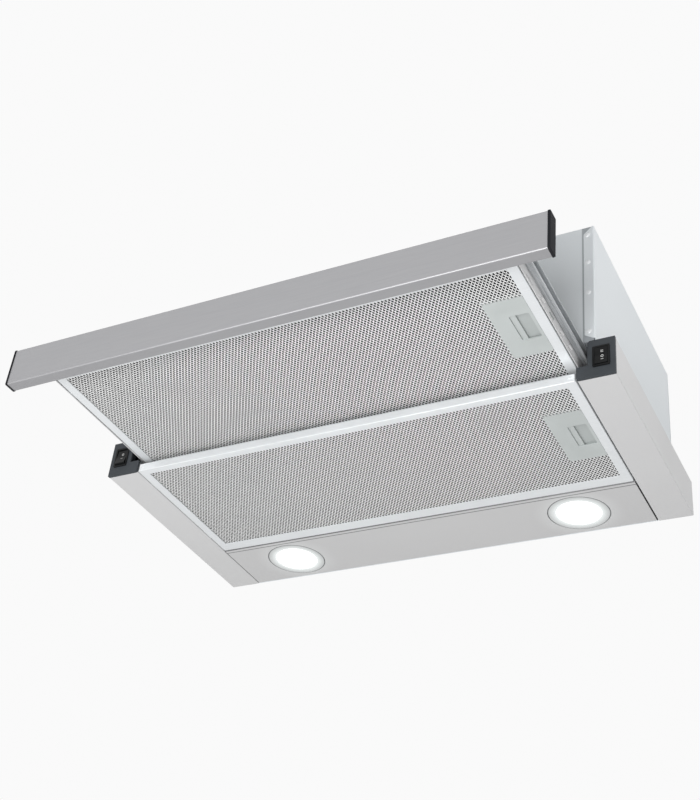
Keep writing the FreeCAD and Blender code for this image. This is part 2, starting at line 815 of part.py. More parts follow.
def visor_side(openings):
    """Right side of the visor: a wall with a lip above, and a clip slot, lugs and holes below."""
    front, rear = -bar_rear, -visor_rear
    wall = sheet_prism([(wall_out, visor_low), (wall_out, visor_high), (wall_out - visor_lip, visor_high)],
                       "xz", front, rear)
    lug_z = visor_low + lug_low
    lugs = [box(wall_out - sheet / 2, wall_out + lug_reach, front + place - lug_length / 2,
                front + place + lug_length / 2, lug_z, lug_z + lug_thick)
            for place in lug_places]
    cuts = [box(wall_in - 1, wall_out + 1, y - length / 2, y + length / 2, low, high)
            for y, length, low, high in openings]
    cuts.append(box(wall_in - 1, wall_out + 1, front + clip_slot_from,
                    front + clip_slot_from + clip_slot_length,
                    visor_low + clip_slot_low, visor_low + clip_slot_high))
    cuts += [rod("x", (wall_in - 1, front + place + peg_step, lug_z), peg_hole, 3) for place in lug_places]
    cuts += [rod("x", (wall_in - 1, y, slide_z), screw_radius + fit, 3) for y in runner_screw_places()]
    return fused(wall, *lugs).cut(cuts)


def visor_front_rail():
    """Cross rail that the bar is fixed to."""
    half = wall_in - slip
    rear = -bar_rear + rail_fold
    return sheet_prism([(rear, front_rail_high), (-bar_rear, front_rail_high), (-bar_rear, visor_low),
                        (rear, visor_low)], "yz", -half, half)


def visor_rear_rail():
    """Cross rail behind the front cassette; its fold stops the cassette from above."""
    half = wall_in - slip
    rear = front.rear + ease + sheet
    top = visor_low + filter_thick + ease + sheet
    return sheet_prism([(rear, visor_low), (rear, top), (rear - rail_fold, top)], "yz", -half, half)


def front_bar():
    """Stainless front bar: a C profile open to the rear between two lips."""
    front, rear = -reach, -bar_rear
    top, low = bar_low + bar_height, bar_low
    return sheet_prism([(rear, bar_lip_high), (rear, top), (front, top), (front, low), (rear, low),
                        (rear, bar_lip_low)], "yz", -bar_half, bar_half)


def inset_section(inset):
    """The section of the bar in the YZ plane, made smaller by an inset on each side."""
    low, top = bar_low + inset, bar_low + bar_height - inset
    return [(-reach + inset, low), (-bar_rear - inset, low), (-bar_rear - inset, top), (-reach + inset, top)]


def bar_end_cap():
    """End cap a little larger than the bar's section, with a hollow plug that goes into the bar."""
    end = bar_half + cap_thick
    cap = prism(inset_section(-cap_proud), "yz", bar_half, end, bend + sheet)
    soft = [e for e in cap.Edges if abs(e.CenterOfMass.x - end) < 0.01]
    cap = cap.makeFillet(cap_soft, soft)
    inset = sheet + slip
    plug = prism(inset_section(inset), "yz", bar_half - cap_plug, bar_half, bend + ease)
    hollow = prism(inset_section(inset + cap_wall), "yz", bar_half - cap_plug - 1, bar_half - 1)
    return fused(cap, plug).cut(hollow)


# ---------------------------------------------------------------- filter cassettes

class Cassette:
    """One filter cassette: its front edge, its underside, and where tabs and bolt meet the frame."""

    def __init__(self, front, low):
        self.front = -front
        self.rear = self.front + filter_depth
        self.low = low
        self.middle = (self.front + self.rear) / 2
        self.grip = self.middle - plate_set

    def level(self, height):
        return self.low + height

    def tab_places(self):
        return [self.middle - tab_offset, self.middle + tab_offset]

    def tab_slots(self):
        low = self.level(hinge_height - tab_bead - ease)
        high = self.level(hinge_height + tab_bead + 2 * ease)
        return [(y, tab_width + 2 * ease, low, high) for y in self.tab_places()]

    def bolt_slot(self):
        return [(self.grip, bolt_width + 2 * ease, self.level(latch_low - ease),
                 self.level(latch_low + latch_thick + ease))]


def filter_tab(c, y):
    """Hinge tab: a neck on the left side of the frame that ends in a bead on the tilt axis."""
    axis_x = -filter_half - tab_reach
    z = c.level(hinge_height)
    neck = box(axis_x, -filter_half + filter_wall / 2, y - tab_width / 2, y + tab_width / 2,
               z - tab_thick / 2, z + tab_thick / 2)
    return fused(neck, rod("y", (axis_x, y - tab_width / 2, z), tab_bead, tab_width))


def filter_frame(c):
    """Aluminium frame of C section with tabs on the left and a slot for the bolt on the right."""
    half = filter_half
    w = filter_wall
    body = box(-half, half, c.front, c.rear, c.low, c.level(filter_thick), filter_corner)
    hem = [e for e in body.Edges if abs(e.CenterOfMass.z - c.low) < 0.01]
    body = body.makeFillet(filter_hem, hem)
    cavity = box(-half + w, half - w, c.front + w, c.rear - w, c.level(w), c.level(filter_thick - w),
                 filter_corner - w)
    window = box(-half + filter_side, half - filter_side, c.front + filter_front, c.rear - filter_back,
                 c.low - 1, c.level(w + 1))
    above = box(-half + filter_lip, half - filter_lip, c.front + filter_lip, c.rear - filter_lip,
                c.level(filter_thick - w - 1), c.level(filter_thick + 1))
    y, length, low, high = c.bolt_slot()[0]
    slot = box(half - w - 1, half + 1, y - length / 2, y + length / 2, low, high)
    tabs = [filter_tab(c, y) for y in c.tab_places()]
    r = corner_rivet_radius
    rivets = [turned([(0, -r / 3), (r * 0.7, -r / 5), (r, 0), (r, w / 2), (0, w / 2)],
                     (x, c.front, c.level(corner_rivet_rise)), "y")
              for x in (-half + corner_rivet, half - corner_rivet)]
    return fused(body.cut([cavity, window, above, slot]), *tabs, *rivets)


def in_handle(c, x, y, margin):
    return x > plate_left - plate_rim - margin and abs(y - c.grip) < plate_depth / 2 + plate_rim + margin


def filter_mesh(c):
    """Expanded metal sheet: one holed face with a staggered pattern of diamonds."""
    half = filter_half - filter_wall - slip
    front, rear = c.front + filter_wall + slip, c.rear - filter_wall - slip
    a = net_pitch_x / 2 - net_strand
    b = net_pitch_y / 2 - net_strand
    low = c.level(filter_wall)
    wires = [outline([(-half, front), (half, front), (half, rear), (-half, rear)], "xy", low,
                     filter_corner - filter_wall)]
    x_limit = filter_half - filter_side
    y_low, y_high = c.front + filter_front, c.rear - filter_back
    columns = int(2 * x_limit / net_pitch_x) + 1
    rows = int((y_high - y_low) / net_pitch_y) + 1
    for shift in (0, 0.5):
        for i in range(-columns, columns + 1):
            for j in range(-rows, rows + 1):
                x = (i + shift) * net_pitch_x
                y = (y_low + y_high) / 2 + (j + shift) * net_pitch_y
                if abs(x) + a > x_limit or y - b < y_low or y + b > y_high or in_handle(c, x, y, a):
                    continue
                wires.append(outline([(x - a, y), (x, y - b), (x + a, y), (x, y + b)], "xy", low))
    well = plate_depth / 2 - plate_rim
    left, right = plate_left + plate_rim, plate_right + tongue_reach + ease
    wires.append(outline([(left, c.grip - well), (right, c.grip - well), (right, c.grip + well),
                          (left, c.grip + well)], "xy", low))
    face = Part.makeFace(wires, "Part::FaceMakerBullseye")
    return face.extrude(V(0, 0, net_sheet))


def filter_handle(c):
    """Plastic plate with the finger window; its rim grips the mesh and its box guides the latch."""
    y = c.grip
    half = plate_depth / 2
    well = half - plate_rim - ease
    rim_z = filter_wall + net_sheet
    face = box(plate_left, plate_right, y - half, y + half, c.level(plate_set_in), c.level(filter_wall),
               plate_corner)
    core = box(plate_left + plate_rim + ease, plate_right, y - well, y + well, c.level(filter_wall),
               c.level(plate_top), plate_corner)
    tongue = box(plate_right - 2, plate_right + tongue_reach, y - well, y + well, c.level(filter_wall),
                 c.level(rim_z))
    rim = box(plate_left + rim_thick, plate_right + ease, y - half + rim_thick, y + half - rim_thick,
              c.level(rim_z), c.level(rim_z + rim_thick))
    reach_y = grip_depth / 2 + latch_margin + latch_gap
    cavity = box(grip_left - latch_travel - latch_gap, grip_right + latch_gap, y - reach_y, y + reach_y,
                 c.level(plate_sheet), c.level(plate_top - plate_sheet))
    window = box(grip_left, grip_right, y - grip_depth / 2, y + grip_depth / 2, c.low - 1,
                 c.level(plate_sheet + slip), grip_corner)
    _, length, low, high = c.bolt_slot()[0]
    slot = box(grip_right - 1, plate_right + 1, y - length / 2, y + length / 2, low, high)
    return fused(face, core, tongue, rim).cut([cavity, window, slot])


def filter_latch(c):
    """Sliding latch: pad and finger wall in the window, a plate behind it and the bolt."""
    y = c.grip
    half = grip_depth / 2 + latch_margin
    pad_half = grip_depth / 2 + latch_margin / 2
    low, high = c.level(latch_low), c.level(latch_low + latch_thick)
    pad_low = c.level(plate_sheet + latch_gap / 2)
    pad_right = grip_left + pad_width
    tip = filter_half + bolt_reach
    plate = box(grip_left, grip_right - slip, y - half, y + half, c.level(latch_floor), high, ease)
    pad = box(grip_left, pad_right, y - pad_half, y + pad_half, pad_low, pad_low + pad_thick)
    wall = box(pad_right - finger_wall, pad_right, y - pad_half, y + pad_half, pad_low, high)
    bolt = prism([(grip_right - 1, low), (tip, low), (tip, high - bolt_point), (tip - bolt_point, high),
                  (grip_right - 1, high)], "xz", y - bolt_width / 2, y + bolt_width / 2)
    return fused(plate, pad, wall, bolt)


# ---------------------------------------------------------------- blower

def scroll_radius(angle):
    """Radius of the scroll after an angle from its cut-off, in degrees."""
    return scroll_start + (scroll_end - scroll_start) * angle / (180 + cutoff_angle)


def scroll_outline(offset, top):
    """Closed wire of the scroll: spiral round the wheel, then straight up to the outlet."""
    points = []
    steps = 8
    for i in range(steps + 1):
        turned_by = (180 + cutoff_angle) * i / steps
        angle = math.radians(cutoff_angle - turned_by)
        r = scroll_radius(turned_by) + offset
        points.append(V(-scroll_half, -axis_y + r * math.cos(angle), axis_z + r * math.sin(angle)))
    curve = Part.BSplineCurve()
    curve.interpolate(points)
    front_end, rear_end = points[-1], points[0]
    up_front = V(-scroll_half, front_end.y, top)
    up_rear = V(-scroll_half, -outlet_rear + offset, top)
    knee = V(-scroll_half, -outlet_rear + offset, rear_end.z + cutoff_rise)
    edges = [curve.toShape(), Part.makeLine(front_end, up_front), Part.makeLine(up_front, up_rear),
             Part.makeLine(up_rear, knee), Part.makeLine(knee, rear_end)]
    return Part.Wire(edges)


def blower_scroll():
    """Scroll wall, open at both sides and at the outlet, with a rim under the top panel."""
    top = case_height - sheet
    length = V(2 * scroll_half, 0, 0)
    outer = Part.Face(scroll_outline(scroll_wall, top)).extrude(length)
    inner = Part.Face(scroll_outline(0, top + 5)).extrude(length)
    rim = box(-scroll_half - outlet_rim, scroll_half + outlet_rim, -scroll_front - outlet_rim,
              -outlet_rear + outlet_rim, top - outlet_rim_thick, top, 6)
    return fused(outer, rim).cut(inner)


def blower_inlet():
    """Right side plate of the scroll with a rounded inlet."""
    top = case_height - sheet - outlet_rim_thick
    plate = Part.Face(scroll_outline(scroll_wall, top)).extrude(V(scroll_wall, 0, 0))
    plate.translate(V(2 * scroll_half, 0, 0))
    flare = inlet_radius + inlet_rise / 2
    mouth = turned([(inlet_radius, 0), (inlet_radius + inlet_wall / 2, inlet_rise * 0.6),
                    (flare, inlet_rise), (flare + inlet_wall * 0.7, inlet_rise - inlet_wall * 0.6),
                    (inlet_radius + inlet_wall * 1.5, inlet_rise / 2), (inlet_radius + inlet_wall, 0)],
                   (scroll_half, -axis_y, axis_z), "x")
    bore = rod("x", (scroll_half - 1, -axis_y, axis_z), inlet_radius, inlet_rise)
    return fused(plate, mouth).cut(bore)


def round_axis(shape, angle):
    """A copy of a shape drawn on the X axis, turned by the angle and moved to the wheel's axis."""
    copy = shape.copy()
    copy.rotate(V(0, 0, 0), V(1, 0, 0), angle)
    copy.translate(V(0, -axis_y, axis_z))
    return copy


def impeller():
    """Centre disc with its hub, and the two end rings of the double inlet wheel."""
    place = (0, -axis_y, axis_z)
    inner = wheel_radius - blade_depth
    bore = shaft_radius + fit
    t = wheel_disc / 2
    disc = turned([(bore, -hub_half), (hub_radius, -hub_half), (hub_radius, -t), (inner, -t), (inner, t),
                   (hub_radius, t), (hub_radius, hub_half), (bore, hub_half)], place, "x")
    rings = [turned([(inner - ease, x), (wheel_radius, x), (wheel_radius, x + wheel_ring),
                     (inner - ease, x + wheel_ring)], place, "x")
             for x in (-wheel_half, wheel_half - wheel_ring)]
    return [disc] + rings


def impeller_blades():
    """Forward curved blades from the edge of the disc, between the two end rings."""
    inner = wheel_radius - blade_depth
    outer = wheel_radius - ease
    half = wheel_half - wheel_ring

    def at(radius, angle):
        return V(-half, radius * math.cos(angle), radius * math.sin(angle))

    def arc(shift):
        lean = math.radians(blade_lean)
        return [at(inner, shift), at((inner + outer) / 2, shift + lean / 6), at(outer, shift + lean)]

    near = arc(0)
    far = arc(blade_thick / inner)
    edges = [Part.Arc(*near).toShape(), Part.makeLine(near[2], far[2]), Part.Arc(*far[::-1]).toShape(),
             Part.makeLine(far[0], near[0])]
    blade = Part.Face(Part.Wire(edges)).extrude(V(2 * half, 0, 0))
    return [round_axis(blade, 360 * i / blade_count) for i in range(blade_count)]


def motor():
    """Motor inside the right half of the wheel: end bells, ribbed can and a bore for the shaft."""
    r = motor_radius - rib_depth
    bore = shaft_radius + fit
    can = turned([(bore, motor_from), (motor_boss - bell / 2, motor_from), (motor_boss, motor_from + bell),
                  (r - bell, motor_from + bell), (r, motor_from + 2 * bell), (r, motor_to - 2 * bell),
                  (r - bell, motor_to - bell), (motor_boss, motor_to), (bore, motor_to)],
                 (0, -axis_y, axis_z), "x")
    rib = box(motor_from + 3 * bell, motor_to - 3 * bell, -rib_thick / 2, rib_thick / 2, r - 1, motor_radius)
    ribs = [round_axis(rib, 360 * i / motor_ribs) for i in range(motor_ribs)]
    return fused(can, *ribs)


def motor_shaft():
    end = motor_to + bracket_thick + shaft_tail / 2
    return turned([(0, -shaft_tail), (shaft_radius - shaft_bevel, -shaft_tail),
                   (shaft_radius, shaft_bevel - shaft_tail), (shaft_radius, end), (0, end)],
                  (0, -axis_y, axis_z), "x")


def motor_bracket():
    """Spider that hangs the motor on the inlet plate: ring, bent arms and feet."""
    foot_x = scroll_half + scroll_wall
    ring = turned([(bracket_ring_in, motor_to), (bracket_ring_out, motor_to),
                   (bracket_ring_out, motor_to + bracket_thick), (bracket_ring_in, motor_to + bracket_thick)],
                  (0, -axis_y, axis_z), "x")
    path = [(foot_x, arm_reach), (foot_x, arm_knee), (motor_to, arm_knee), (motor_to, arm_from)]
    arm = sheet_prism(path, "xz", -arm_width / 2, arm_width / 2, bracket_thick, bend)
    arms = [round_axis(arm, 90 + 360 * i / arm_count) for i in range(arm_count)]
    return fused(ring, *arms)


# ---------------------------------------------------------------- duct collar and flaps

def collar_screw_places():
    middle = (duct_radius + collar_rim) / 2
    half = middle * math.sqrt(0.5)
    return [(sx * half, -duct_y + sy * half) for sx in (-1, 1) for sy in (-1, 1)]


def duct_collar():
    """Spigot for the duct, with a rim on the casing, a seat and bearings for the flaps."""
    inner = duct_radius - duct_wall
    seat = flap_z - flap_thick / 2 - slip
    body = turned([(inner, 0), (collar_rim, 0), (collar_rim, collar_rim_thick),
                   (duct_radius, collar_rim_thick), (duct_radius, collar_height - duct_wall),
                   (duct_radius - duct_wall / 2, collar_height), (inner, collar_height), (inner, seat),
                   (inner - seat_width, seat), (inner - seat_width, seat - flap_thick),
                   (inner, seat - flap_thick - seat_width / 2)],
                  (0, -duct_y, case_height))
    z = case_height + flap_z
    bosses = []
    for side in (-1, 1):
        x0, x1 = sorted((side * (inner - boss_depth), side * (inner + duct_wall / 3)))
        bosses.append(box(x0, x1, -duct_y - flap_gap - boss_half, -duct_y + flap_gap + boss_half,
                          z - boss_half, z + boss_half))
    pins = [rod("x", (-inner - slip, -duct_y + s * flap_gap, z), flap_pin + fit, 2 * (inner + slip))
            for s in (-1, 1)]
    holes = [rod("z", (u, v, case_height - 1), screw_radius + fit, 5) for u, v in collar_screw_places()]
    return fused(body, *bosses).cut(pins + holes)


def damper_flap():
    """Rear flap: half a disc with a rolled edge and a pin at each end."""
    z = case_height + flap_z
    hinge = -duct_y + flap_gap
    inner = duct_radius - duct_wall
    disc = rod("z", (0, -duct_y, z - flap_thick / 2), flap_radius, flap_thick)
    keep = box(-duct_radius, duct_radius, hinge, -duct_y + duct_radius, z - 5, z + 5)
    edge = inner - boss_depth - ease
    clear = boss_half * math.sqrt(2) + ease
    notches = [box(*sorted((s * edge, s * duct_radius)), hinge - 1, hinge + clear, z - 5, z + 5)
               for s in (-1, 1)]
    roll = rod("x", (-edge, hinge, z), flap_roll, 2 * edge)
    pin = rod("x", (slip - inner, hinge, z), flap_pin, 2 * (inner - slip))
    return fused(disc.common(keep).cut(notches), roll, pin)


def front_flap():
    """The other flap is the same piece turned round the middle of the duct."""
    flap = damper_flap()
    flap.rotate(V(0, -duct_y, 0), V(0, 0, 1), 180)
    return flap


# ---------------------------------------------------------------- electrics

def control_box():
    """Box of the lamp driver under the top panel, with ears, cable outlets and a lid line."""
    top = case_height - sheet
    x0, x1 = -driver_x - driver_width / 2, -driver_x + driver_width / 2
    y0, y1 = -driver_y - driver_depth / 2, -driver_y + driver_depth / 2
    body = box(x0, x1, y0, y1, top - driver_height, top, driver_corner)
    rim = box(x0 - lid_proud, x1 + lid_proud, y0 - lid_proud, y1 + lid_proud, top - lid_line - lid_thick,
              top - lid_line, driver_corner + lid_proud)
    ears = [box(x - ear_reach, x + ear_reach, -driver_y - ear_radius, -driver_y + ear_radius,
                top - lid_thick, top, ear_radius / 2) for x in (x0 - ear_reach / 2, x1 + ear_reach / 2)]
    outlets = [rod("x", (x1 - 1, -driver_y + i * outlet_pitch, top - driver_height / 2 + outlet_drop),
                   outlet_radius, outlet_length + 1) for i in (-1, 0, 1)]
    return fused(body, rim, *ears, *outlets)


def cable_gland():
    """Grommet for the mains lead in the top panel."""
    half = gland_length / 2
    return turned([(gland_bore, -half), (gland_neck + gland_flange, -half),
                   (gland_rim - gland_flange / 3, -sheet - gland_flange), (gland_rim, -sheet),
                   (gland_neck, -sheet), (gland_neck, 0), (gland_rim, 0), (gland_rim, gland_flange),
                   (gland_neck, half), (gland_bore, half)],
                  (gland_x, -gland_y, case_height))


# ---------------------------------------------------------------- all the nodes

rear = Cassette(rear_filter_front, 0.0)
front = Cassette(front_filter_front, visor_low)

save_pair("casing_side", casing_side())
save("casing_front", casing_front())
save("casing_rear", casing_rear())
save("casing_top", casing_top())
save("casing_rivets", *casing_rivets())
save("casing_screws", *casing_screws())

save("skirt_right", skirt(rear.bolt_slot()))
save("skirt_left", mirrored(skirt(rear.tab_slots())))
save_pair("switch_fascia", switch_fascia())
save_pair("switch_body", switch_body())
save("fan_rocker", rocker())
lamp_rocker = mirrored(rocker())
lamp_rocker.rotate(V(0, -rocker_pivot, switch_z), V(1, 0, 0), -rocker_tilt)
save("light_rocker", lamp_rocker)

save("lamp_panel", lamp_panel())
save_pair("lamp_ring", lamp_ring())
save_pair("lamp_lens", lamp_lens())
save_pair("lamp_can", lamp_can())

save_pair("slide_bracket", slide_bracket())
save_pair("slide_rail", slide_rail())
save_pair("slide_runner", slide_runner())
save_pair("ball_cage", ball_cage())
save("slide_balls", *slide_balls())
save("visor_screws", *visor_screws())

save("visor_side_right", visor_side(front.bolt_slot()))
save("visor_side_left", mirrored(visor_side(front.tab_slots())))
save("visor_front_rail", visor_front_rail())
save("visor_rear_rail", visor_rear_rail())
save("front_bar", front_bar())
save_pair("bar_end_cap", bar_end_cap())

for name, cassette in (("rear_filter", rear), ("front_filter", front)):
    save(f"{name}_frame", filter_frame(cassette))
    save(f"{name}_mesh", filter_mesh(cassette))
    save(f"{name}_handle", filter_handle(cassette))
    save(f"{name}_latch", filter_latch(cassette))

save("blower_scroll", blower_scroll())
save_pair("blower_inlet", blower_inlet())
save("impeller", *impeller())
save("impeller_blades", *impeller_blades())
save("motor", motor())
save("motor_shaft", motor_shaft())
save("motor_bracket", motor_bracket())

save("duct_collar", duct_collar())
save("damper_flap_rear", damper_flap())
save("damper_flap_front", front_flap())
save("control_box", control_box())
save("cable_gland", cable_gland())
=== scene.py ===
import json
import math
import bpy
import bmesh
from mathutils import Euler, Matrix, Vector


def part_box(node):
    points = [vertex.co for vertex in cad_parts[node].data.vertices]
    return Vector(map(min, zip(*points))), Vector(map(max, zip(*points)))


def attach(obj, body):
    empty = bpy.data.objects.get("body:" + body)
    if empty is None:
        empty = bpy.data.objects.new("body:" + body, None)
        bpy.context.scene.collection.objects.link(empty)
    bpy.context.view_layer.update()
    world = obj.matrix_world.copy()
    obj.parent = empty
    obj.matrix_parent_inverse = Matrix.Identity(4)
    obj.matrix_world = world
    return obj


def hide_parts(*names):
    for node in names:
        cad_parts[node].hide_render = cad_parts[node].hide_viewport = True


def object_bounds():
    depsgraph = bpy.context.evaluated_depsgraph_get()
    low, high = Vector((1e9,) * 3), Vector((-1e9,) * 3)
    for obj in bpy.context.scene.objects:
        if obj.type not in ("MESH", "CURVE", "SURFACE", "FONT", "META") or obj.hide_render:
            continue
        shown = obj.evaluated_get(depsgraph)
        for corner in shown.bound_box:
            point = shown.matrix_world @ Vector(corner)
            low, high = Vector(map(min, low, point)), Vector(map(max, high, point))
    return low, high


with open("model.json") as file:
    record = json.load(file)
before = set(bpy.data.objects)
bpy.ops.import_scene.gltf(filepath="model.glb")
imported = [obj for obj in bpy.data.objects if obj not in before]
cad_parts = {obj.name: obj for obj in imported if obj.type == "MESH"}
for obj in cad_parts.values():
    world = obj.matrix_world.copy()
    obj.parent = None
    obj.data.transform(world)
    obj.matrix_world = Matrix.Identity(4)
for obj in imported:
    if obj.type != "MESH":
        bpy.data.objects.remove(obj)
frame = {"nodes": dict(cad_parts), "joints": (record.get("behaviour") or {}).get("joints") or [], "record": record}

# %% [markdown]
# # A pull out range hood, seen from below
#
# This lesson dresses a range hood whose folded sheets, slides, filter cassettes, switches and blower
# are already modelled as solids. They come in as a fixed frame: each solid keeps its place, and here
# it gets its finish. What the solids leave out is made here, such as the fine net of the cassettes,
# the marks on the switches and the crosses in the screw heads.

CAD_BOX = [list(corner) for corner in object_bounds()]
NODES = frame["nodes"]
LOW, HIGH = (Vector(corner) for corner in CAD_BOX)
MM = 0.001
print("frame box, mm:", [[round(v / MM, 1) for v in corner] for corner in CAD_BOX])


def linked(name, data):
    """A new object in the scene, from a mesh, a lamp or a camera."""
    thing = bpy.data.objects.new(name, data)
    bpy.context.scene.collection.objects.link(thing)
    return thing


# %% [markdown]
# ## The camera
#
# The hood hangs above the eye, so the camera stands low, to the right and in front of it, and looks
# up. A long lens keeps the edges nearly parallel. The numbers were found by fitting the corners of
# the hood to a picture of it, and they're kept as a place, three angles and a focal length.

# %% Camera
CAMERA_PLACE = (0.596425, -1.135961, -0.978006)
CAMERA_ANGLES = (125.33916, -5.38038, 26.76208)   # degrees about X, Y and Z
FOCAL_LENGTH = 59.589                             # on a 36 mm sensor
CLIP_RANGE = (0.05, 40.0)


def make_camera():
    data = bpy.data.cameras.new("hood_camera")
    data.lens = FOCAL_LENGTH
    data.clip_start, data.clip_end = CLIP_RANGE
    camera = linked("hood_camera", data)
    camera.location = CAMERA_PLACE
    camera.rotation_euler = Euler([math.radians(a) for a in CAMERA_ANGLES], "XYZ")
    bpy.context.scene.camera = camera
    return camera


camera = make_camera()
print("camera at", [round(v, 3) for v in camera.location])

# %% [markdown]
# ## A few short helpers
#
# A material is a small graph of nodes. These helpers add a node, join two sockets, and give a socket
# either a plain value or another socket. One turns a colour as a screen shows it into the linear
# colour that shaders work with. With them the cells below say what a finish is and not how a graph
# is wired, and the same helpers serve the Geometry Nodes further down.

# %% Node helpers
def linear(code):
    """Linear colour of a screen colour written as six hexadecimal digits, by the sRGB curve."""
    shares = [int(code[i:i + 2], 16) / 255 for i in (0, 2, 4)]
    return tuple(s / 12.92 if s <= 0.04045 else ((s + 0.055) / 1.055) ** 2.4 for s in shares) + (1.0,)


def add(tree, kind, **settings):
    node = tree.nodes.new(kind)
    for name, value in settings.items():
        setattr(node, name, value)
    return node


def join(tree, start, end):
    tree.links.new(start, end)


def feed(tree, value, socket):
    """Gives a socket a plain value, or joins another socket to it."""
    if isinstance(value, bpy.types.NodeSocket):
        join(tree, value, socket)
    else:
        socket.default_value = value


def number(tree, operation, a, b=0.0):
    """A Math node; a and b are numbers or sockets."""
    node = add(tree, "ShaderNodeMath", operation=operation)
    for socket, value in zip(node.inputs, (a, b)):
        feed(tree, value, socket)
    return node.outputs[0]


def split(tree, place):
    """The X, Y and Z of a place."""
    node = add(tree, "ShaderNodeSeparateXYZ")
    join(tree, place, node.inputs[0])
    return list(node.outputs)


def vector(tree, *parts):
    """A place from three numbers or sockets."""
    node = add(tree, "ShaderNodeCombineXYZ")
    for socket, value in zip(node.inputs, parts):
        feed(tree, value, socket)
    return node.outputs[0]


def spread(tree, value, low, high, from_low=0.0, from_high=1.0):
    """Maps a value from one range to another, with its ends held."""
    node = add(tree, "ShaderNodeMapRange")
    for socket, amount in zip(node.inputs[1:5], (from_low, from_high, low, high)):
        socket.default_value = amount
    join(tree, value, node.inputs[0])
    return node.outputs[0]


def blend(tree, mask, first, second):
    """A colour between two colours, by a mask."""
    node = add(tree, "ShaderNodeMix", data_type="RGBA")
    join(tree, mask, node.inputs["Factor"])
    feed(tree, first, node.inputs[6])    # A and B of the colours; lower numbers are those of plain values
    feed(tree, second, node.inputs[7])
    return node.outputs[2]


# %% [markdown]
# ## Effects that several finishes share
#
# Moulded plastic has a fine grain, rolled or brushed metal has fine lines along one way, and every
# large surface varies a little where it was handled. Each of these is a node group with named inputs,
# made once and used in many materials with other values. The groups read Object coordinates, so a
# pattern has its real size and doesn't slide when a piece moves.

# %% Places and noise
MM_PER_METRE = 1000.0
MOST = (0.35, 0.65)      # most values of a noise lie between these
NEARLY_ALL = (0.3, 0.7)


def object_place(tree):
    """Object coordinates: the place on a piece in metres, which travels with the piece."""
    return add(tree, "ShaderNodeTexCoord").outputs["Object"]


def noise(tree, place, scale, detail=2.0, distortion=0.0):
    """Soft random values from 0 to 1, finer where the scale is larger."""
    node = add(tree, "ShaderNodeTexNoise")
    for name, value in (("Vector", place), ("Scale", scale), ("Detail", detail), ("Distortion", distortion)):
        feed(tree, value, node.inputs[name])
    return node.outputs[0]


def new_group(name, inputs, outputs):
    """A shared group with float inputs and outputs; returns it with its in and out nodes."""
    group = bpy.data.node_groups.new(name, "ShaderNodeTree")
    for socket, value in inputs:
        made = group.interface.new_socket(socket, in_out="INPUT", socket_type="NodeSocketFloat")
        made.default_value = value
    for socket in outputs:
        group.interface.new_socket(socket, in_out="OUTPUT", socket_type="NodeSocketFloat")
    return group, add(group, "NodeGroupInput"), add(group, "NodeGroupOutput")


# %% Group: fine grain
FINER = 2.7              # the second noise of a grain is this many times finer


def make_grain_group():
    """Moulded or painted grain: one height value from two sizes of noise."""
    group, given, made = new_group("fine grain", [("Size in mm", 1.0), ("Softness", 0.5)], ["Height"])
    place = object_place(group)
    scale = number(group, "DIVIDE", MM_PER_METRE, given.outputs["Size in mm"])
    coarse = noise(group, place, scale)
    fine = noise(group, place, number(group, "MULTIPLY", scale, FINER))
    mix = add(group, "ShaderNodeMix")
    join(group, given.outputs["Softness"], mix.inputs[0])
    join(group, fine, mix.inputs[2])
    join(group, coarse, mix.inputs[3])
    join(group, mix.outputs[0], made.inputs["Height"])
    return group


GRAIN = make_grain_group()

# %% Group: brushed lines
BAND_SHARE = 0.12        # scale of the wide bands, as a share of that of the lines


def make_brush_group():
    """Fine lines along X: noise that is drawn out along the bar and close together across it."""
    group, given, made = new_group("brushed lines", [("Line in mm", 0.5), ("Stretch", 60.0)], ["Lines", "Bands"])
    x, y, z = split(group, object_place(group))
    across = number(group, "DIVIDE", MM_PER_METRE, given.outputs["Line in mm"])
    along = number(group, "DIVIDE", across, given.outputs["Stretch"])
    for share, socket in ((1.0, "Lines"), (BAND_SHARE, "Bands")):
        drawn = [number(group, "MULTIPLY", number(group, "MULTIPLY", part, scale), share)
                 for part, scale in ((x, along), (y, across), (z, across))]
        join(group, noise(group, vector(group, *drawn), 1.0, detail=3.0), made.inputs[socket])
    return group


BRUSH = make_brush_group()

# %% Group: handling
def make_handling_group():
    """Large soft patches where a surface was wiped or touched."""
    group, given, made = new_group("handling", [("Patch in mm", 90.0)], ["Patches"])
    scale = number(group, "DIVIDE", MM_PER_METRE, given.outputs["Patch in mm"])
    patches = noise(group, object_place(group), scale, detail=4.0, distortion=0.4)
    join(group, spread(group, patches, 0.0, 1.0, *MOST), made.inputs["Patches"])
    return group


HANDLING = make_handling_group()


def effect(tree, group, **values):
    """Places a shared group in a material, with its own values."""
    node = add(tree, "ShaderNodeGroup")
    node.node_tree = group
    for name, value in values.items():
        node.inputs[name.replace("_", " ")].default_value = value
    return node.outputs


print("shared groups:", [g.name for g in (GRAIN, BRUSH, HANDLING)])

# %% [markdown]
# ## The frame of every finish
#
# Each finish starts from the same few steps: a shader, a colour that drifts between two near tones,
# a roughness that drifts with it, and a bump. A finish then adds what is its own. Plain numbers, such
# as how metallic it is, are set on the shader's own sockets.

# %% Start of a finish
def begin(name, metallic=0.0, **sockets):
    """A new material, its tree and its shader, with plain values on the shader's sockets."""
    material = bpy.data.materials.new(name)
    material.use_nodes = True
    tree = material.node_tree
    shader = tree.nodes["Principled BSDF"]
    shader.inputs["Metallic"].default_value = metallic
    for socket, value in sockets.items():
        shader.inputs[socket.replace("_", " ")].default_value = value
    return material, tree, shader


def tint(tree, shader, mask, first, second):
    """Colour, from the first where the mask is dark to the second where it is light."""
    join(tree, blend(tree, mask, first, second), shader.inputs["Base Color"])


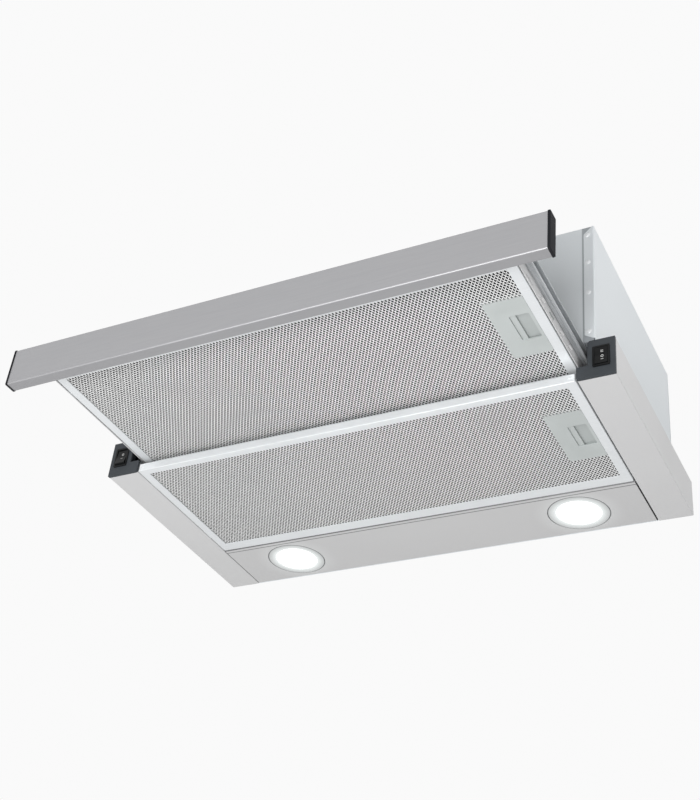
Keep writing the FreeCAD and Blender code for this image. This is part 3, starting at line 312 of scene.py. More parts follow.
def polish(tree, shader, mask, rough, rise):
    """Roughness, and how much it rises where the mask is light."""
    join(tree, spread(tree, mask, rough, rough + rise), shader.inputs["Roughness"])


def relief(tree, shader, height, depth, strength):
    """Bump of a depth in metres."""
    bump = add(tree, "ShaderNodeBump")
    bump.inputs["Strength"].default_value = strength
    bump.inputs["Distance"].default_value = depth
    join(tree, height, bump.inputs["Height"])
    join(tree, bump.outputs[0], shader.inputs["Normal"])


# %% [markdown]
# ## Painted sheet
#
# The casing, the skirts and the visor are steel sheet with a satin silver paint. The flakes in it
# give a faint sparkle, and the film has a fine orange peel that only shows in grazing light. A part
# metallic shader with a soft bump stands for both. The casing is a lighter tone than the skirts.

# %% Satin silver paint
def silver_paint(name, light, dark, metallic, rough):
    material, tree, shader = begin(name, metallic=metallic)
    patches = effect(tree, HANDLING, Patch_in_mm=140.0)["Patches"]
    flakes = effect(tree, GRAIN, Size_in_mm=0.35, Softness=0.3)["Height"]
    tone = blend(tree, spread(tree, flakes, 0.0, 1.0, *MOST), linear(dark), linear(light))
    tint(tree, shader, spread(tree, patches, 0.0, 0.25), tone, linear(light))
    polish(tree, shader, patches, rough, 0.08)
    peel = effect(tree, GRAIN, Size_in_mm=1.6, Softness=0.8)["Height"]
    relief(tree, shader, peel, 0.02 * MM, 0.25)
    return material


CASING_COAT = ("E6EBEE", "E0E5E8", 0.1, 0.42)   # light and dark tone, metallic, roughness
CASING_PAINT = silver_paint("casing_paint", *CASING_COAT)
# its own copy of the casing's coat, which carries the painted shade beside the flanges
CASING_FRONT_PAINT = silver_paint("casing_front_paint", *CASING_COAT)
SKIRT_PAINT = silver_paint("skirt_paint", "D4D4D4", "CECECF", 0.2, 0.42)
PANEL_PAINT = silver_paint("lamp_panel_paint", "CDCDCD", "C7C7C8", 0.2, 0.4)
print("paints:", [m.name for m in (CASING_PAINT, CASING_FRONT_PAINT, SKIRT_PAINT, PANEL_PAINT)])

# %% [markdown]
# ## Brushed steel bar
#
# The bar is stainless sheet, brushed along its length. The lines are far finer than a millimetre and
# run on for centimetres, so they show mostly as a soft sheen drawn out across them, with wider bands
# where the belt pressed harder. Noise stretched along the bar gives both.

# %% Brushed steel
def brushed_steel(name, light, dark, rough):
    material, tree, shader = begin(name, metallic=0.55)
    lines = effect(tree, BRUSH, Line_in_mm=0.35, Stretch=90.0)
    patches = effect(tree, HANDLING, Patch_in_mm=120.0)["Patches"]
    streak = blend(tree, spread(tree, lines["Lines"], 0.0, 1.0, *NEARLY_ALL), linear(dark), linear(light))
    tint(tree, shader, spread(tree, lines["Bands"], 0.0, 0.35, *NEARLY_ALL), streak, linear(light))
    polish(tree, shader, patches, rough, 0.08)
    relief(tree, shader, lines["Lines"], 0.02 * MM, 0.15)
    return material


BAR_STEEL = brushed_steel("brushed_bar", "AFAFB1", "A7A7AA", 0.4)
print("bar:", BAR_STEEL.name, "with", len(BAR_STEEL.node_tree.nodes), "nodes")

# %% [markdown]
# ## Aluminium of the cassettes
#
# The frames of the cassettes are soft rolled aluminium, bright and only faintly lined. The outer net
# is the same metal. What lies deeper in the pack is seen through the net, where little light falls,
# so the inner net and the core get much darker tones than the light alone would give them.

# %% Aluminium
def aluminium(name, light, dark, rough, line=0.6, metallic=0.4):
    material, tree, shader = begin(name, metallic=metallic)
    lines = effect(tree, BRUSH, Line_in_mm=line, Stretch=30.0)
    patches = effect(tree, HANDLING, Patch_in_mm=60.0)["Patches"]
    streak = blend(tree, spread(tree, lines["Lines"], 0.0, 1.0, *NEARLY_ALL), linear(dark), linear(light))
    tint(tree, shader, spread(tree, patches, 0.0, 0.4), streak, linear(light))
    polish(tree, shader, patches, rough, 0.1)
    relief(tree, shader, lines["Lines"], 0.03 * MM, 0.2)
    return material


FRAME_ALUMINIUM = aluminium("filter_aluminium", "EBEEF0", "E3E6E8", 0.34, metallic=0.3)
NET_ALUMINIUM = aluminium("net_aluminium", "FCFCFC", "F4F5F5", 0.34, 0.3, 0.1)
# the inner net and the core: dark tones of painted shade, for the little light deep in the pack
SHADED_INNER_NET = aluminium("inner_net_aluminium", "242628", "1A1C1E", 0.5, 0.3)
SHADED_CORE = aluminium("filter_core", "1E1F20", "141516", 0.6, 0.5)
print("aluminium:", [m.name for m in (FRAME_ALUMINIUM, NET_ALUMINIUM, SHADED_INNER_NET, SHADED_CORE)])

# %% [markdown]
# ## Moulded plastics
#
# The end caps and fascias are dark grey with a spark eroded grain, the switches glossy black, the
# handles and lamp rings grey, and the blower a dark engineering plastic. They differ in tone, gloss
# and size of grain, so one recipe serves all.

# %% Plastic
def plastic(name, light, dark, rough, grain, depth, strength=0.5, **sockets):
    """Grained plastic; the size of the grain and its depth are in mm."""
    material, tree, shader = begin(name, **sockets)
    patches = effect(tree, HANDLING, Patch_in_mm=35.0)["Patches"]
    height = effect(tree, GRAIN, Size_in_mm=grain, Softness=0.6)["Height"]
    tint(tree, shader, patches, linear(dark), linear(light))
    polish(tree, shader, patches, rough, 0.1)
    relief(tree, shader, height, depth * MM, strength)
    return material


DARK_PLASTIC = plastic("dark_plastic", "3D4145", "363A3E", 0.55, 0.7, 0.08, Specular_IOR_Level=0.35)
SWITCH_PLASTIC = plastic("switch_plastic", "0F1011", "0A0B0C", 0.3, 1.5, 0.01, 0.2, Specular_IOR_Level=0.2)
CAP_PLASTIC = plastic("end_cap_plastic", "26272A", "202124", 0.7, 0.7, 0.08, Specular_IOR_Level=0.1)
HANDLE_PLASTIC = {side: plastic(f"{side}_handle_plastic", "BABFBE", "B4B9B8", 0.45, 0.6, 0.05)
                  for side in ("rear", "front")}
BLOWER_PLASTIC = plastic("blower_plastic", "393B3E", "303235", 0.5, 0.9, 0.08)
GLAND_RUBBER = plastic("gland_rubber", "232323", "1B1B1B", 0.7, 0.5, 0.06)
MARK_PAINT = plastic("mark_paint", "D6D6D4", "CACAC8", 0.5, 0.3, 0.01, 0.2)
RING_PLASTIC = plastic("lamp_plastic", "C4C6C6", "BCBEBE", 0.35, 0.8, 0.02)
print("plastics:", [m.name for m in (DARK_PLASTIC, SWITCH_PLASTIC, CAP_PLASTIC, BLOWER_PLASTIC, RING_PLASTIC)])

# %% [markdown]
# ## Zinc plated steel and the motor
#
# The screws and brackets are zinc plated: a cool grey with a fine spangle, and a little duller where
# the plating is rough. The slides are rolled from strip and oiled, so they're darker, with fine lines
# along their travel. The motor's can is die-cast.

# %% Zinc, rolled strip and die-cast metal
ROLLED_SCALE = (1600.0, 18.0, 1600.0)   # noise per metre: close together across the strip, drawn out along Y


def plated_metal(name, light, dark, rough, spangle):
    """Plated or cast metal with a spangle of a size in mm."""
    material, tree, shader = begin(name, metallic=0.85)
    cells = add(tree, "ShaderNodeTexVoronoi")
    cells.inputs["Scale"].default_value = MM_PER_METRE / spangle
    join(tree, object_place(tree), cells.inputs["Vector"])
    parts = add(tree, "ShaderNodeSeparateColor")
    join(tree, cells.outputs["Color"], parts.inputs[0])
    tint(tree, shader, parts.outputs[0], linear(dark), linear(light))
    polish(tree, shader, parts.outputs[1], rough, 0.12)
    height = effect(tree, GRAIN, Size_in_mm=0.8, Softness=0.5)["Height"]
    relief(tree, shader, height, 0.02 * MM, 0.3)
    return material


def rolled_steel(name, light, dark, rough):
    """Strip that ran through rollers: fine lines along Y, the way in which the slides run."""
    material, tree, shader = begin(name, metallic=0.5)
    drawn = add(tree, "ShaderNodeMapping")
    drawn.inputs["Scale"].default_value = ROLLED_SCALE
    join(tree, object_place(tree), drawn.inputs["Vector"])
    lines = noise(tree, drawn.outputs[0], 1.0, detail=3.0)
    tint(tree, shader, spread(tree, lines, 0.0, 1.0, *MOST), linear(dark), linear(light))
    polish(tree, shader, effect(tree, HANDLING, Patch_in_mm=30.0)["Patches"], rough, 0.15)
    relief(tree, shader, lines, 0.02 * MM, 0.3)
    return material


ZINC = plated_metal("slide_steel", "D3D5D7", "C3C6C9", 0.3, 2.5)
ROLLED_STEEL = rolled_steel("rolled_slide", "CDD0D2", "A9ACAF", 0.36)
CAST_METAL = plated_metal("motor_metal", "9A9DA0", "8A8D90", 0.5, 1.2)
print("metals:", [m.name for m in (ZINC, ROLLED_STEEL, CAST_METAL)])

# %% [markdown]
# ## Lamps
#
# Each lamp has a frosted disc that shines evenly, in a pale bezel. The bezel gets a painted glow near
# the disc, and the lamp panel a fainter painted glow round the bezel. The glow falls off with the
# distance from the middle of its own lamp, which is read from Object coordinates.

# %% Lamp glass and bezel
LENS_LOW, LENS_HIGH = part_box("lamp_lens_right")
RING_LOW, RING_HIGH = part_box("lamp_ring_right")
LAMP_X, LAMP_Y = ((LENS_LOW[i] + LENS_HIGH[i]) / 2 for i in (0, 1))
LENS_RADIUS = (LENS_HIGH[0] - LENS_LOW[0]) / 2
RING_RADIUS = (RING_HIGH[0] - RING_LOW[0]) / 2
# colour of the painted glow round the lamps, on the bezels and the lamp panel
PAINTED_GLOW = "EFF7F5"
FALL_OFF = 1.3           # how quickly the painted glow round a lamp fades
DISC_GLOW = 1.6          # how strongly a disc shines


def lamp_distance(tree):
    """Distance from the axis of the nearer lamp, in metres."""
    x, y = split(tree, object_place(tree))[:2]
    aside = number(tree, "SUBTRACT", number(tree, "ABSOLUTE", x), LAMP_X)
    ahead = number(tree, "SUBTRACT", y, LAMP_Y)
    squares = [number(tree, "MULTIPLY", side, side) for side in (aside, ahead)]
    return number(tree, "SQRT", number(tree, "ADD", *squares))


def lamp_glass():
    material, tree, shader = begin("lamp_glass", Roughness=0.35)
    tint(tree, shader, effect(tree, HANDLING, Patch_in_mm=20.0)["Patches"], linear("F4F6F6"), linear("FFFFFF"))
    relief(tree, shader, effect(tree, GRAIN, Size_in_mm=0.6, Softness=0.5)["Height"], 0.05 * MM, 0.4)
    glow = spread(tree, lamp_distance(tree), 1.0, 0.85, 0.0, LENS_RADIUS)
    join(tree, blend(tree, glow, linear("D8E8E8"), linear("FFFFFF")), shader.inputs["Emission Color"])
    shader.inputs["Emission Strength"].default_value = DISC_GLOW
    return material


def paint_lamp_glow(material, start, end, peak):
    """Paints a glow round a lamp into a finish as emission, from its peak at the start to none at the end."""
    tree = material.node_tree
    shader = tree.nodes["Principled BSDF"]
    near = number(tree, "POWER", spread(tree, lamp_distance(tree), 1.0, 0.0, start, end), FALL_OFF)
    join(tree, blend(tree, near, linear("000000"), linear(PAINTED_GLOW)), shader.inputs["Emission Color"])
    shader.inputs["Emission Strength"].default_value = peak


LAMP_GLASS = lamp_glass()
# painted glow: on the bezel near the disc, and fainter on the panel round the bezel
paint_lamp_glow(RING_PLASTIC, LENS_RADIUS * 0.93, RING_RADIUS, 0.5)
paint_lamp_glow(PANEL_PAINT, RING_RADIUS * 0.9, RING_RADIUS * 1.5, 0.08)
print("lamp radius, mm:", round(LENS_RADIUS / MM, 1), "bezel:", round(RING_RADIUS / MM, 1))

# %% [markdown]
# ## Painted shade at seams, a crease and recesses
#
# Where two sheets meet or one is folded, little light comes back out, and the edge reads as a thin
# dark line. The light here is so even that it nearly hides such edges, so that shade is painted: the
# paint is darkened by its distance from them, at the ends of the lamp panel, which a gap of 0.6 mm
# parts from the skirts, along its front edge, beside the flanges that lie over the casing's front, and
# round the rims of the bezels. The panel also has a shallow crease behind its front edge. The solid is
# flat there, so that line is painted shade alone. The handles get painted shade, a tone darker, up in
# their finger recess.

# %% Painted shade along the edges
# colours of the painted shade: dark and grey lines on the lamp panel, and the tones on the bezels' rims, beside the
# flanges and up in the handles' recesses
SEAM_SHADE_DARK, SEAM_SHADE_GREY = "3A3A3C", "6E6E70"
BEZEL_RIM_SHADE, FLANGE_SHADE, RECESS_SHADE = "767879", "A6ABAF", "A0A5A4"
SEAM_SOFT = 0.4 * MM     # how wide the soft edge of a painted shade line is


def paint_shade(material, distance, start, end, colour):
    """Paints shade into a finish by a distance in metres, from none at the start to a colour at the end."""
    tree = material.node_tree
    socket = tree.nodes["Principled BSDF"].inputs["Base Color"]
    tone = socket.links[0].from_socket
    join(tree, blend(tree, spread(tree, distance(tree), 0.0, 1.0, start, end), tone, linear(colour)), socket)


def from_middle(tree):
    """Distance from the middle plane of the hood."""
    return number(tree, "ABSOLUTE", split(tree, object_place(tree))[0])


def off_line(y):
    """Gives the distance from a line that runs across the hood."""
    def distance(tree):
        return number(tree, "ABSOLUTE", number(tree, "SUBTRACT", split(tree, object_place(tree))[1], y))
    return distance


def above(level):
    """Gives the height above a level."""
    def height(tree):
        return number(tree, "SUBTRACT", split(tree, object_place(tree))[2], level)
    return height


PANEL_FRONT, PANEL_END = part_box("lamp_panel")[0][1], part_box("lamp_panel")[1][0]
FLANGE_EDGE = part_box("casing_side_right")[0][0]
BEZEL_LINE, END_LINE = RING_RADIUS - 1.1 * MM, PANEL_END - 0.9 * MM              # where these lines begin
FRONT_LINE, CREASE_LINE = PANEL_FRONT + 0.4 * MM, PANEL_FRONT + 5.5 * MM         # middles of these lines
FRONT_HALF, CREASE_HALF = 0.5 * MM, 0.4 * MM                                     # and half their widths
FLANGE_BAND = (FLANGE_EDGE - 1.4 * MM, FLANGE_EDGE - 0.4 * MM)
RECESS_BAND = (1.2 * MM, 5.0 * MM)                                               # above the plate of a handle
# painted shade round the bezels' rims, at the panel's ends, along its front edge and its crease, and beside the
# flanges
paint_shade(RING_PLASTIC, lamp_distance, BEZEL_LINE, BEZEL_LINE + SEAM_SOFT, BEZEL_RIM_SHADE)
paint_shade(PANEL_PAINT, from_middle, END_LINE, END_LINE + SEAM_SOFT, SEAM_SHADE_DARK)
paint_shade(PANEL_PAINT, off_line(FRONT_LINE), FRONT_HALF + SEAM_SOFT, FRONT_HALF, SEAM_SHADE_GREY)
paint_shade(PANEL_PAINT, off_line(CREASE_LINE), CREASE_HALF + SEAM_SOFT, CREASE_HALF, SEAM_SHADE_GREY)
paint_shade(CASING_FRONT_PAINT, from_middle, *FLANGE_BAND, FLANGE_SHADE)
# painted shade up in the finger recess of each handle, from the height of its plate
for side, material in HANDLE_PLASTIC.items():
    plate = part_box(f"{side}_filter_handle")[0][2]
    paint_shade(material, above(plate), *RECESS_BAND, RECESS_SHADE)
print("flange edge from the middle, mm:", round(FLANGE_EDGE / MM, 1))

# %% [markdown]
# ## Every solid gets its finish
#
# The record says which slot each solid belongs to, so the finishes are given out by slot. A few have
# their own: the lamp panel, with the painted glow of the lamps on it, the casing's front, with painted
# shade beside its flanges, the end caps of the bar, which are a darker moulding, the rails and runners
# of the slides, and the handle and latch of the front cassette, which hangs at another height than the
# rear one.

# %% Give out the finishes
FINISH_OF = {
    "casing_paint": CASING_PAINT, "skirt_paint": SKIRT_PAINT, "brushed_bar": BAR_STEEL,
    "dark_plastic": DARK_PLASTIC, "switch_plastic": SWITCH_PLASTIC,
    "filter_aluminium": FRAME_ALUMINIUM, "handle_plastic": HANDLE_PLASTIC["rear"],
    "lamp_plastic": RING_PLASTIC, "lamp_glass": LAMP_GLASS, "slide_steel": ZINC,
    "blower_plastic": BLOWER_PLASTIC, "motor_metal": CAST_METAL, "gland_rubber": GLAND_RUBBER,
}


def dress(node, material):
    mesh = node.data
    mesh.materials.clear()
    mesh.materials.append(material)


for part in frame["record"]["subparts"]:
    dress(NODES[part["node"]], FINISH_OF[part["material_slot"]])
dress(NODES["lamp_panel"], PANEL_PAINT)
dress(NODES["casing_front"], CASING_FRONT_PAINT)
for side in ("left", "right"):
    dress(NODES[f"bar_end_cap_{side}"], CAP_PLASTIC)
    dress(NODES[f"slide_rail_{side}"], ROLLED_STEEL)
    dress(NODES[f"slide_runner_{side}"], ROLLED_STEEL)
for piece in ("handle", "latch"):
    dress(NODES[f"front_filter_{piece}"], HANDLE_PLASTIC["front"])
print("solids dressed:", len(NODES))

# %% [markdown]
# ## The net of a cassette
#
# A grease filter is several layers of expanded aluminium: sheet that is slit and pulled until it
# opens into diamonds. The solid only has one coarse sheet with large diamonds. The real pattern is
# some eight thousand of them, so Geometry Nodes make it from one V of two flat strands. It stands on
# every point of a staggered grid, where the arms of each V meet the feet of the next two. A layer out
# of step, painted dark for the shade deep in the pack, lies behind it, then a crinkled core, painted
# as dark, that can't be seen through, and a bright net again on top.

# %% Node tree: expanded net
NET_PITCH_X = 3.75 * MM
NET_PITCH_Y = 6.0 * MM
STRAND_WIDTH = 0.95 * MM
STRAND_THICK = 0.3 * MM


def geometry_tree(name, inputs):
    """A geometry node tree with float inputs and a material; returns it with its in and out nodes."""
    tree = bpy.data.node_groups.new(name, "GeometryNodeTree")
    tree.interface.new_socket("Geometry", in_out="INPUT", socket_type="NodeSocketGeometry")
    for socket, value in inputs:
        made = tree.interface.new_socket(socket, in_out="INPUT", socket_type="NodeSocketFloat")
        made.default_value = value
    tree.interface.new_socket("Material", in_out="INPUT", socket_type="NodeSocketMaterial")
    tree.interface.new_socket("Geometry", in_out="OUTPUT", socket_type="NodeSocketGeometry")
    return tree, add(tree, "NodeGroupInput"), add(tree, "NodeGroupOutput")


def end_tree(tree, given, made, geometry):
    """Realize Instances and Set Material, as every tree here ends."""
    real = add(tree, "GeometryNodeRealizeInstances")
    join(tree, geometry, real.inputs[0])
    paint = add(tree, "GeometryNodeSetMaterial")
    join(tree, real.outputs[0], paint.inputs["Geometry"])
    join(tree, given.outputs["Material"], paint.inputs["Material"])
    join(tree, paint.outputs[0], made.inputs[0])


def strand_path(tree, given):
    """A straight line of three points across a V, whose ends are then moved up into its arms."""
    half = number(tree, "MULTIPLY", given.outputs["Pitch X"], 0.5)
    line = add(tree, "GeometryNodeCurvePrimitiveLine")
    for socket, turn in (("Start", -1.0), ("End", 1.0)):
        join(tree, vector(tree, number(tree, "MULTIPLY", half, turn)), line.inputs[socket])
    three = add(tree, "GeometryNodeResampleCurve")
    three.inputs["Count"].default_value = 3
    join(tree, line.outputs[0], three.inputs["Curve"])
    x = split(tree, add(tree, "GeometryNodeInputPosition").outputs[0])[0]
    slope = number(tree, "DIVIDE", given.outputs["Pitch Y"], given.outputs["Pitch X"])
    place = vector(tree, x, number(tree, "MULTIPLY", number(tree, "ABSOLUTE", x), slope))
    bent = add(tree, "GeometryNodeSetPosition")
    join(tree, three.outputs[0], bent.inputs["Geometry"])
    join(tree, place, bent.inputs["Position"])
    return bent.outputs[0]


def make_net_tree():
    """Puts a V of two flat strands on every point of the mesh that it is given."""
    tree, given, made = geometry_tree("expanded net", [("Pitch X", NET_PITCH_X), ("Pitch Y", NET_PITCH_Y),
                                                       ("Width", STRAND_WIDTH), ("Thickness", STRAND_THICK)])
    upright = add(tree, "GeometryNodeSetCurveNormal", mode="Z_UP")
    join(tree, strand_path(tree, given), upright.inputs[0])
    section = add(tree, "GeometryNodeCurvePrimitiveQuadrilateral", mode="RECTANGLE")
    join(tree, given.outputs["Width"], section.inputs["Width"])
    join(tree, given.outputs["Thickness"], section.inputs["Height"])
    sweep = add(tree, "GeometryNodeCurveToMesh")
    sweep.inputs["Fill Caps"].default_value = True
    join(tree, upright.outputs[0], sweep.inputs["Curve"])
    join(tree, section.outputs[0], sweep.inputs["Profile Curve"])
    copies = add(tree, "GeometryNodeInstanceOnPoints")
    join(tree, given.outputs["Geometry"], copies.inputs["Points"])
    join(tree, sweep.outputs[0], copies.inputs["Instance"])
    end_tree(tree, given, made, copies.outputs[0])
    return tree


NET_TREE = make_net_tree()
print("net tree:", len(NET_TREE.nodes), "nodes")

# %% Meshes from points, trees and what was built
def points_object(name, places):
    mesh = bpy.data.meshes.new(name)
    mesh.from_pydata([tuple(p) for p in places], [], [])
    return linked(name, mesh)


def grown(points, tree, name, material):
    """Runs a tree on a points object and keeps the result as a plain mesh object."""
    modifier = points.modifiers.new(name, "NODES")
    modifier.node_group = tree
    for item in tree.interface.items_tree:
        if item.in_out == "INPUT" and item.name == "Material":
            modifier[item.identifier] = material
    bpy.context.view_layer.update()
    ready = points.evaluated_get(bpy.context.evaluated_depsgraph_get())
    mesh = bpy.data.meshes.new_from_object(ready)
    mesh.name = name
    bpy.data.objects.remove(points)
    return linked(name, mesh)


def built_mesh(name, build, *materials):
    """Turns what was built into a mesh with its materials."""
    mesh = bpy.data.meshes.new(name)
    build.to_mesh(mesh)
    build.free()
    for material in materials:
        mesh.materials.append(material)
    return mesh


# %% Lay out and make the nets
def net_places(low, high, level):
    """Points of a staggered grid that fill a window, one for the foot of each V."""
    columns = int((high[0] - low[0]) / NET_PITCH_X)
    rows = int((high[1] - low[1]) / NET_PITCH_Y)
    start_x = (low[0] + high[0] - (columns - 1) * NET_PITCH_X) / 2
    start_y = (low[1] + high[1] - (rows - 1) * NET_PITCH_Y) / 2
    return [(start_x + (i + half) * NET_PITCH_X, start_y + (j + half) * NET_PITCH_Y, level)
            for half in (0.0, 0.5) for i in range(columns) for j in range(rows)]


def outside_handle(place, handle, margin):
    """Whether a place lies further than a margin from a handle, which reaches the cassette's right end."""
    low, high = handle
    beside = abs(place[1] - (low[1] + high[1]) / 2) - (high[1] - low[1]) / 2
    return place[0] < low[0] - margin or beside > margin


NET_EDGE = 5.0 * MM      # the net ends this far inside the outline of its solid
UNDER_HANDLE = 1.5 * MM  # the outer net runs this far in under the handle
NET_LAYERS = (           # shift as a share of a diamond, height above the sheet of the solid, finish
    (0.0, 0.6 * MM, NET_ALUMINIUM), (0.3, 2.0 * MM, SHADED_INNER_NET), (0.0, 6.2 * MM, NET_ALUMINIUM))
CORE_RISE = 3.6 * MM
CORE_THICK = 0.6 * MM
CORE_CELL = 4.0 * MM
CRINKLE_HIGH = 0.5 * MM
CRINKLE_X, CRINKLE_Y, CRINKLE_SLANT = 0.9, 0.76, 0.21   # waves of the crinkle, radians for each mm


def make_core(cassette, low, high, level, handle):
    """Crinkled sheet in the middle of the pack, left open round the handle."""
    build = bmesh.new()
    bmesh.ops.create_grid(build, x_segments=int((high[0] - low[0]) / CORE_CELL),
                          y_segments=int((high[1] - low[1]) / CORE_CELL), size=0.5)
    for vertex in build.verts:
        x = low[0] + (vertex.co.x + 0.5) * (high[0] - low[0])
        y = low[1] + (vertex.co.y + 0.5) * (high[1] - low[1])
        crinkle = math.sin(x / MM * CRINKLE_X) * math.sin(y / MM * CRINKLE_Y + x / MM * CRINKLE_SLANT)
        vertex.co = (x, y, level + CRINKLE_HIGH * crinkle)
    hidden = [f for f in build.faces if not outside_handle(f.calc_center_median(), handle, CORE_CELL)]
    bmesh.ops.delete(build, geom=hidden, context="FACES")
    core = linked(f"{cassette}_core", built_mesh(f"{cassette}_core", build, SHADED_CORE))
    core.modifiers.new("wall", "SOLIDIFY").thickness = CORE_THICK
    return core


def make_nets(cassette):
    """The nets and the core of one cassette, inside its frame and round its handle."""
    mesh_low, mesh_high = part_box(f"{cassette}_mesh")
    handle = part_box(f"{cassette}_handle")
    low = (mesh_low[0] + NET_EDGE, mesh_low[1] + NET_EDGE)
    high = (mesh_high[0] - NET_EDGE, mesh_high[1] - NET_EDGE)
    pieces = []
    for i, (shift, rise, material) in enumerate(NET_LAYERS):
        margin = -UNDER_HANDLE if i == 0 else NET_PITCH_X
        places = [(x + shift * NET_PITCH_X, y + shift * NET_PITCH_Y, z)
                  for x, y, z in net_places(low, high, mesh_low[2] + rise)
                  if outside_handle((x, y), handle, margin)]
        name = f"{cassette}_net_{i + 1}"
        pieces.append(grown(points_object(f"{name}_points", places), NET_TREE, name, material))
        print(name, len(places), "strands", len(pieces[-1].data.polygons), "faces")
    pieces.append(make_core(cassette, low, high, mesh_low[2] + CORE_RISE, handle))
    for piece in pieces:
        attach(piece, cassette)
    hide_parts(f"{cassette}_mesh")
    return pieces


NETS = make_nets("rear_filter") + make_nets("front_filter")
print("nets and cores:", [piece.name for piece in NETS])

# %% [markdown]
# ## Marks on the switches
#
# A rocker carries plain marks that are printed a few hundredths of a millimetre proud: a ring where
# it's off, and one or two bars where it's on. The rocker's face is two facets that meet at a low
# ridge, and each mark is laid on them, so that it follows the ridge and leans with the rocker.

# %% Printed marks
RIDGE = 2.4 * MM          # face of a rocker in front of its pivot, at the ridge
FACET_SLOPE = 0.8 / 9.47  # how much further forward it is at the ends, for each unit of height
MARK_HIGH = 0.06 * MM
MARK_DEEP = 0.05 * MM
BAR_LONG, BAR_WIDE = 2.7 * MM, 0.6 * MM
RING_OUTER, RING_INNER = 1.5 * MM, 0.95 * MM
RING_STEPS = 28
FAN_BARS, FAN_RING = ((1.2, 5.6), (1.2, 4.1), (1.2, -4.9)), (1.2, -0.9)   # places from the pivot, in mm
LIGHT_BARS, LIGHT_RING = ((1.2, -2.6),), (1.2, 3.2)
FAN_LEAN, LIGHT_LEAN = 0.0, -9.0                                          # how the rockers rest, in degrees


def on_face(joint, lean, x, z, height):
    """A point of a rocker's face, x and z from the pivot, at some height above the face."""
    flat = Vector((x, -RIDGE - FACET_SLOPE * abs(z) - height, z))
    return Vector(joint["pos_m"]) + Matrix.Rotation(lean, 3, "X") @ flat


def closed_strip(build, rings, whole):
    """Joins sections of four corners; the last meets the first where whole is set."""
    count = len(rings)
    for i in range(count if whole else count - 1):
        first, second = rings[i], rings[(i + 1) % count]
        for j in range(4):
            k = (j + 1) % 4
            build.faces.new((first[j], first[k], second[k], second[j]))
    if not whole:
        build.faces.new(rings[0])
        build.faces.new(rings[-1][::-1])


def lay_bar(build, joint, lean, x, z):
    corners = ((-0.5, MARK_HIGH), (0.5, MARK_HIGH), (0.5, -MARK_DEEP), (-0.5, -MARK_DEEP))
    rings = [[build.verts.new(on_face(joint, lean, x + end * BAR_LONG, z + side * BAR_WIDE, height))
              for side, height in corners] for end in (-0.5, 0.5)]
    closed_strip(build, rings, False)


def lay_ring(build, joint, lean, x, z):
    corners = ((RING_OUTER, MARK_HIGH), (RING_INNER, MARK_HIGH), (RING_INNER, -MARK_DEEP), (RING_OUTER, -MARK_DEEP))
    turns = [2 * math.pi * i / RING_STEPS for i in range(RING_STEPS)]
    rings = [[build.verts.new(on_face(joint, lean, x + r * math.cos(turn), z + r * math.sin(turn), height))
              for r, height in corners] for turn in turns]
    closed_strip(build, rings, True)


def make_marks(rocker, lean, bars, ring):
    """The marks of one rocker; bars and ring are places from its pivot, in mm."""
    joint = next(j for j in frame["joints"] if j["child"] == rocker)
    build = bmesh.new()
    for x, z in bars:
        lay_bar(build, joint, math.radians(lean), x * MM, z * MM)
    lay_ring(build, joint, math.radians(lean), ring[0] * MM, ring[1] * MM)
    bmesh.ops.recalc_face_normals(build, faces=build.faces)
    marks = linked(f"{rocker}_marks", built_mesh(f"{rocker}_marks", build, MARK_PAINT))
    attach(marks, rocker)
    return marks


MARKS = [make_marks("fan_rocker", FAN_LEAN, FAN_BARS, FAN_RING),
         make_marks("light_rocker", LIGHT_LEAN, LIGHT_BARS, LIGHT_RING)]
print("marks:", [(m.name, len(m.data.polygons)) for m in MARKS])

# %% [markdown]
# ## Screws with a cross recess
#
# Every screw has a domed pan head, rounded at its edge, with a cross pressed into it that narrows
# downwards. The solids give the place, the length and the way each screw points, so these are measured
# on them, and Geometry Nodes put one head and one shank on each point, turned to its aim.

# %% Measure the screws of the solids
HEAD_RADIUS = 3.6 * MM
HEAD_HIGH = 1.0 * MM
SHANK_RADIUS = 1.9 * MM
RIM_SHARE = 0.97         # corners further out than this share of the head's radius lie on its seat
MERGE = 0.001 * MM


def islands(node):
    """Lists of corners, one for each separate piece of a solid's mesh, from a merged copy."""
    build = bmesh.new()
    build.from_mesh(NODES[node].data)
    bmesh.ops.remove_doubles(build, verts=build.verts, dist=MERGE)
    found, seen = [], set()
    for start in build.verts:
        group, waiting = [], [start]
        while waiting:
            vertex = waiting.pop()
            if vertex not in seen:
                seen.add(vertex)
                group.append(vertex.co.copy())
                waiting += [edge.other_vert(vertex) for edge in vertex.link_edges]
        if group:
            found.append(group)
    build.free()
    return found


def measured_screw(corners):
    """Seat of the head, outward aim and length of the shank of one screw."""
    low = Vector([min(c[i] for c in corners) for i in range(3)])
    high = Vector([max(c[i] for c in corners) for i in range(3)])
    size, centre = high - low, (low + high) / 2
    axis = min(range(3), key=lambda i: size[i])
    wide = [c[axis] for c in corners
            if math.dist([v for i, v in enumerate(c) if i != axis],
                         [v for i, v in enumerate(centre) if i != axis]) > HEAD_RADIUS * RIM_SHARE]
    seat = sum(wide) / len(wide)
    outward = 1.0 if seat > centre[axis] else -1.0
    aim, place = Vector((0.0, 0.0, 0.0)), centre.copy()
    aim[axis] = outward
    place[axis] = seat
    return place, aim, (seat - low[axis]) if outward > 0 else (high[axis] - seat)


CASING_SCREWS = [measured_screw(corners) for corners in islands("casing_screws")]
VISOR_SCREWS = [measured_screw(corners) for corners in islands("visor_screws")]
print("screws measured:", len(CASING_SCREWS), "on the casing,", len(VISOR_SCREWS), "on the visor")

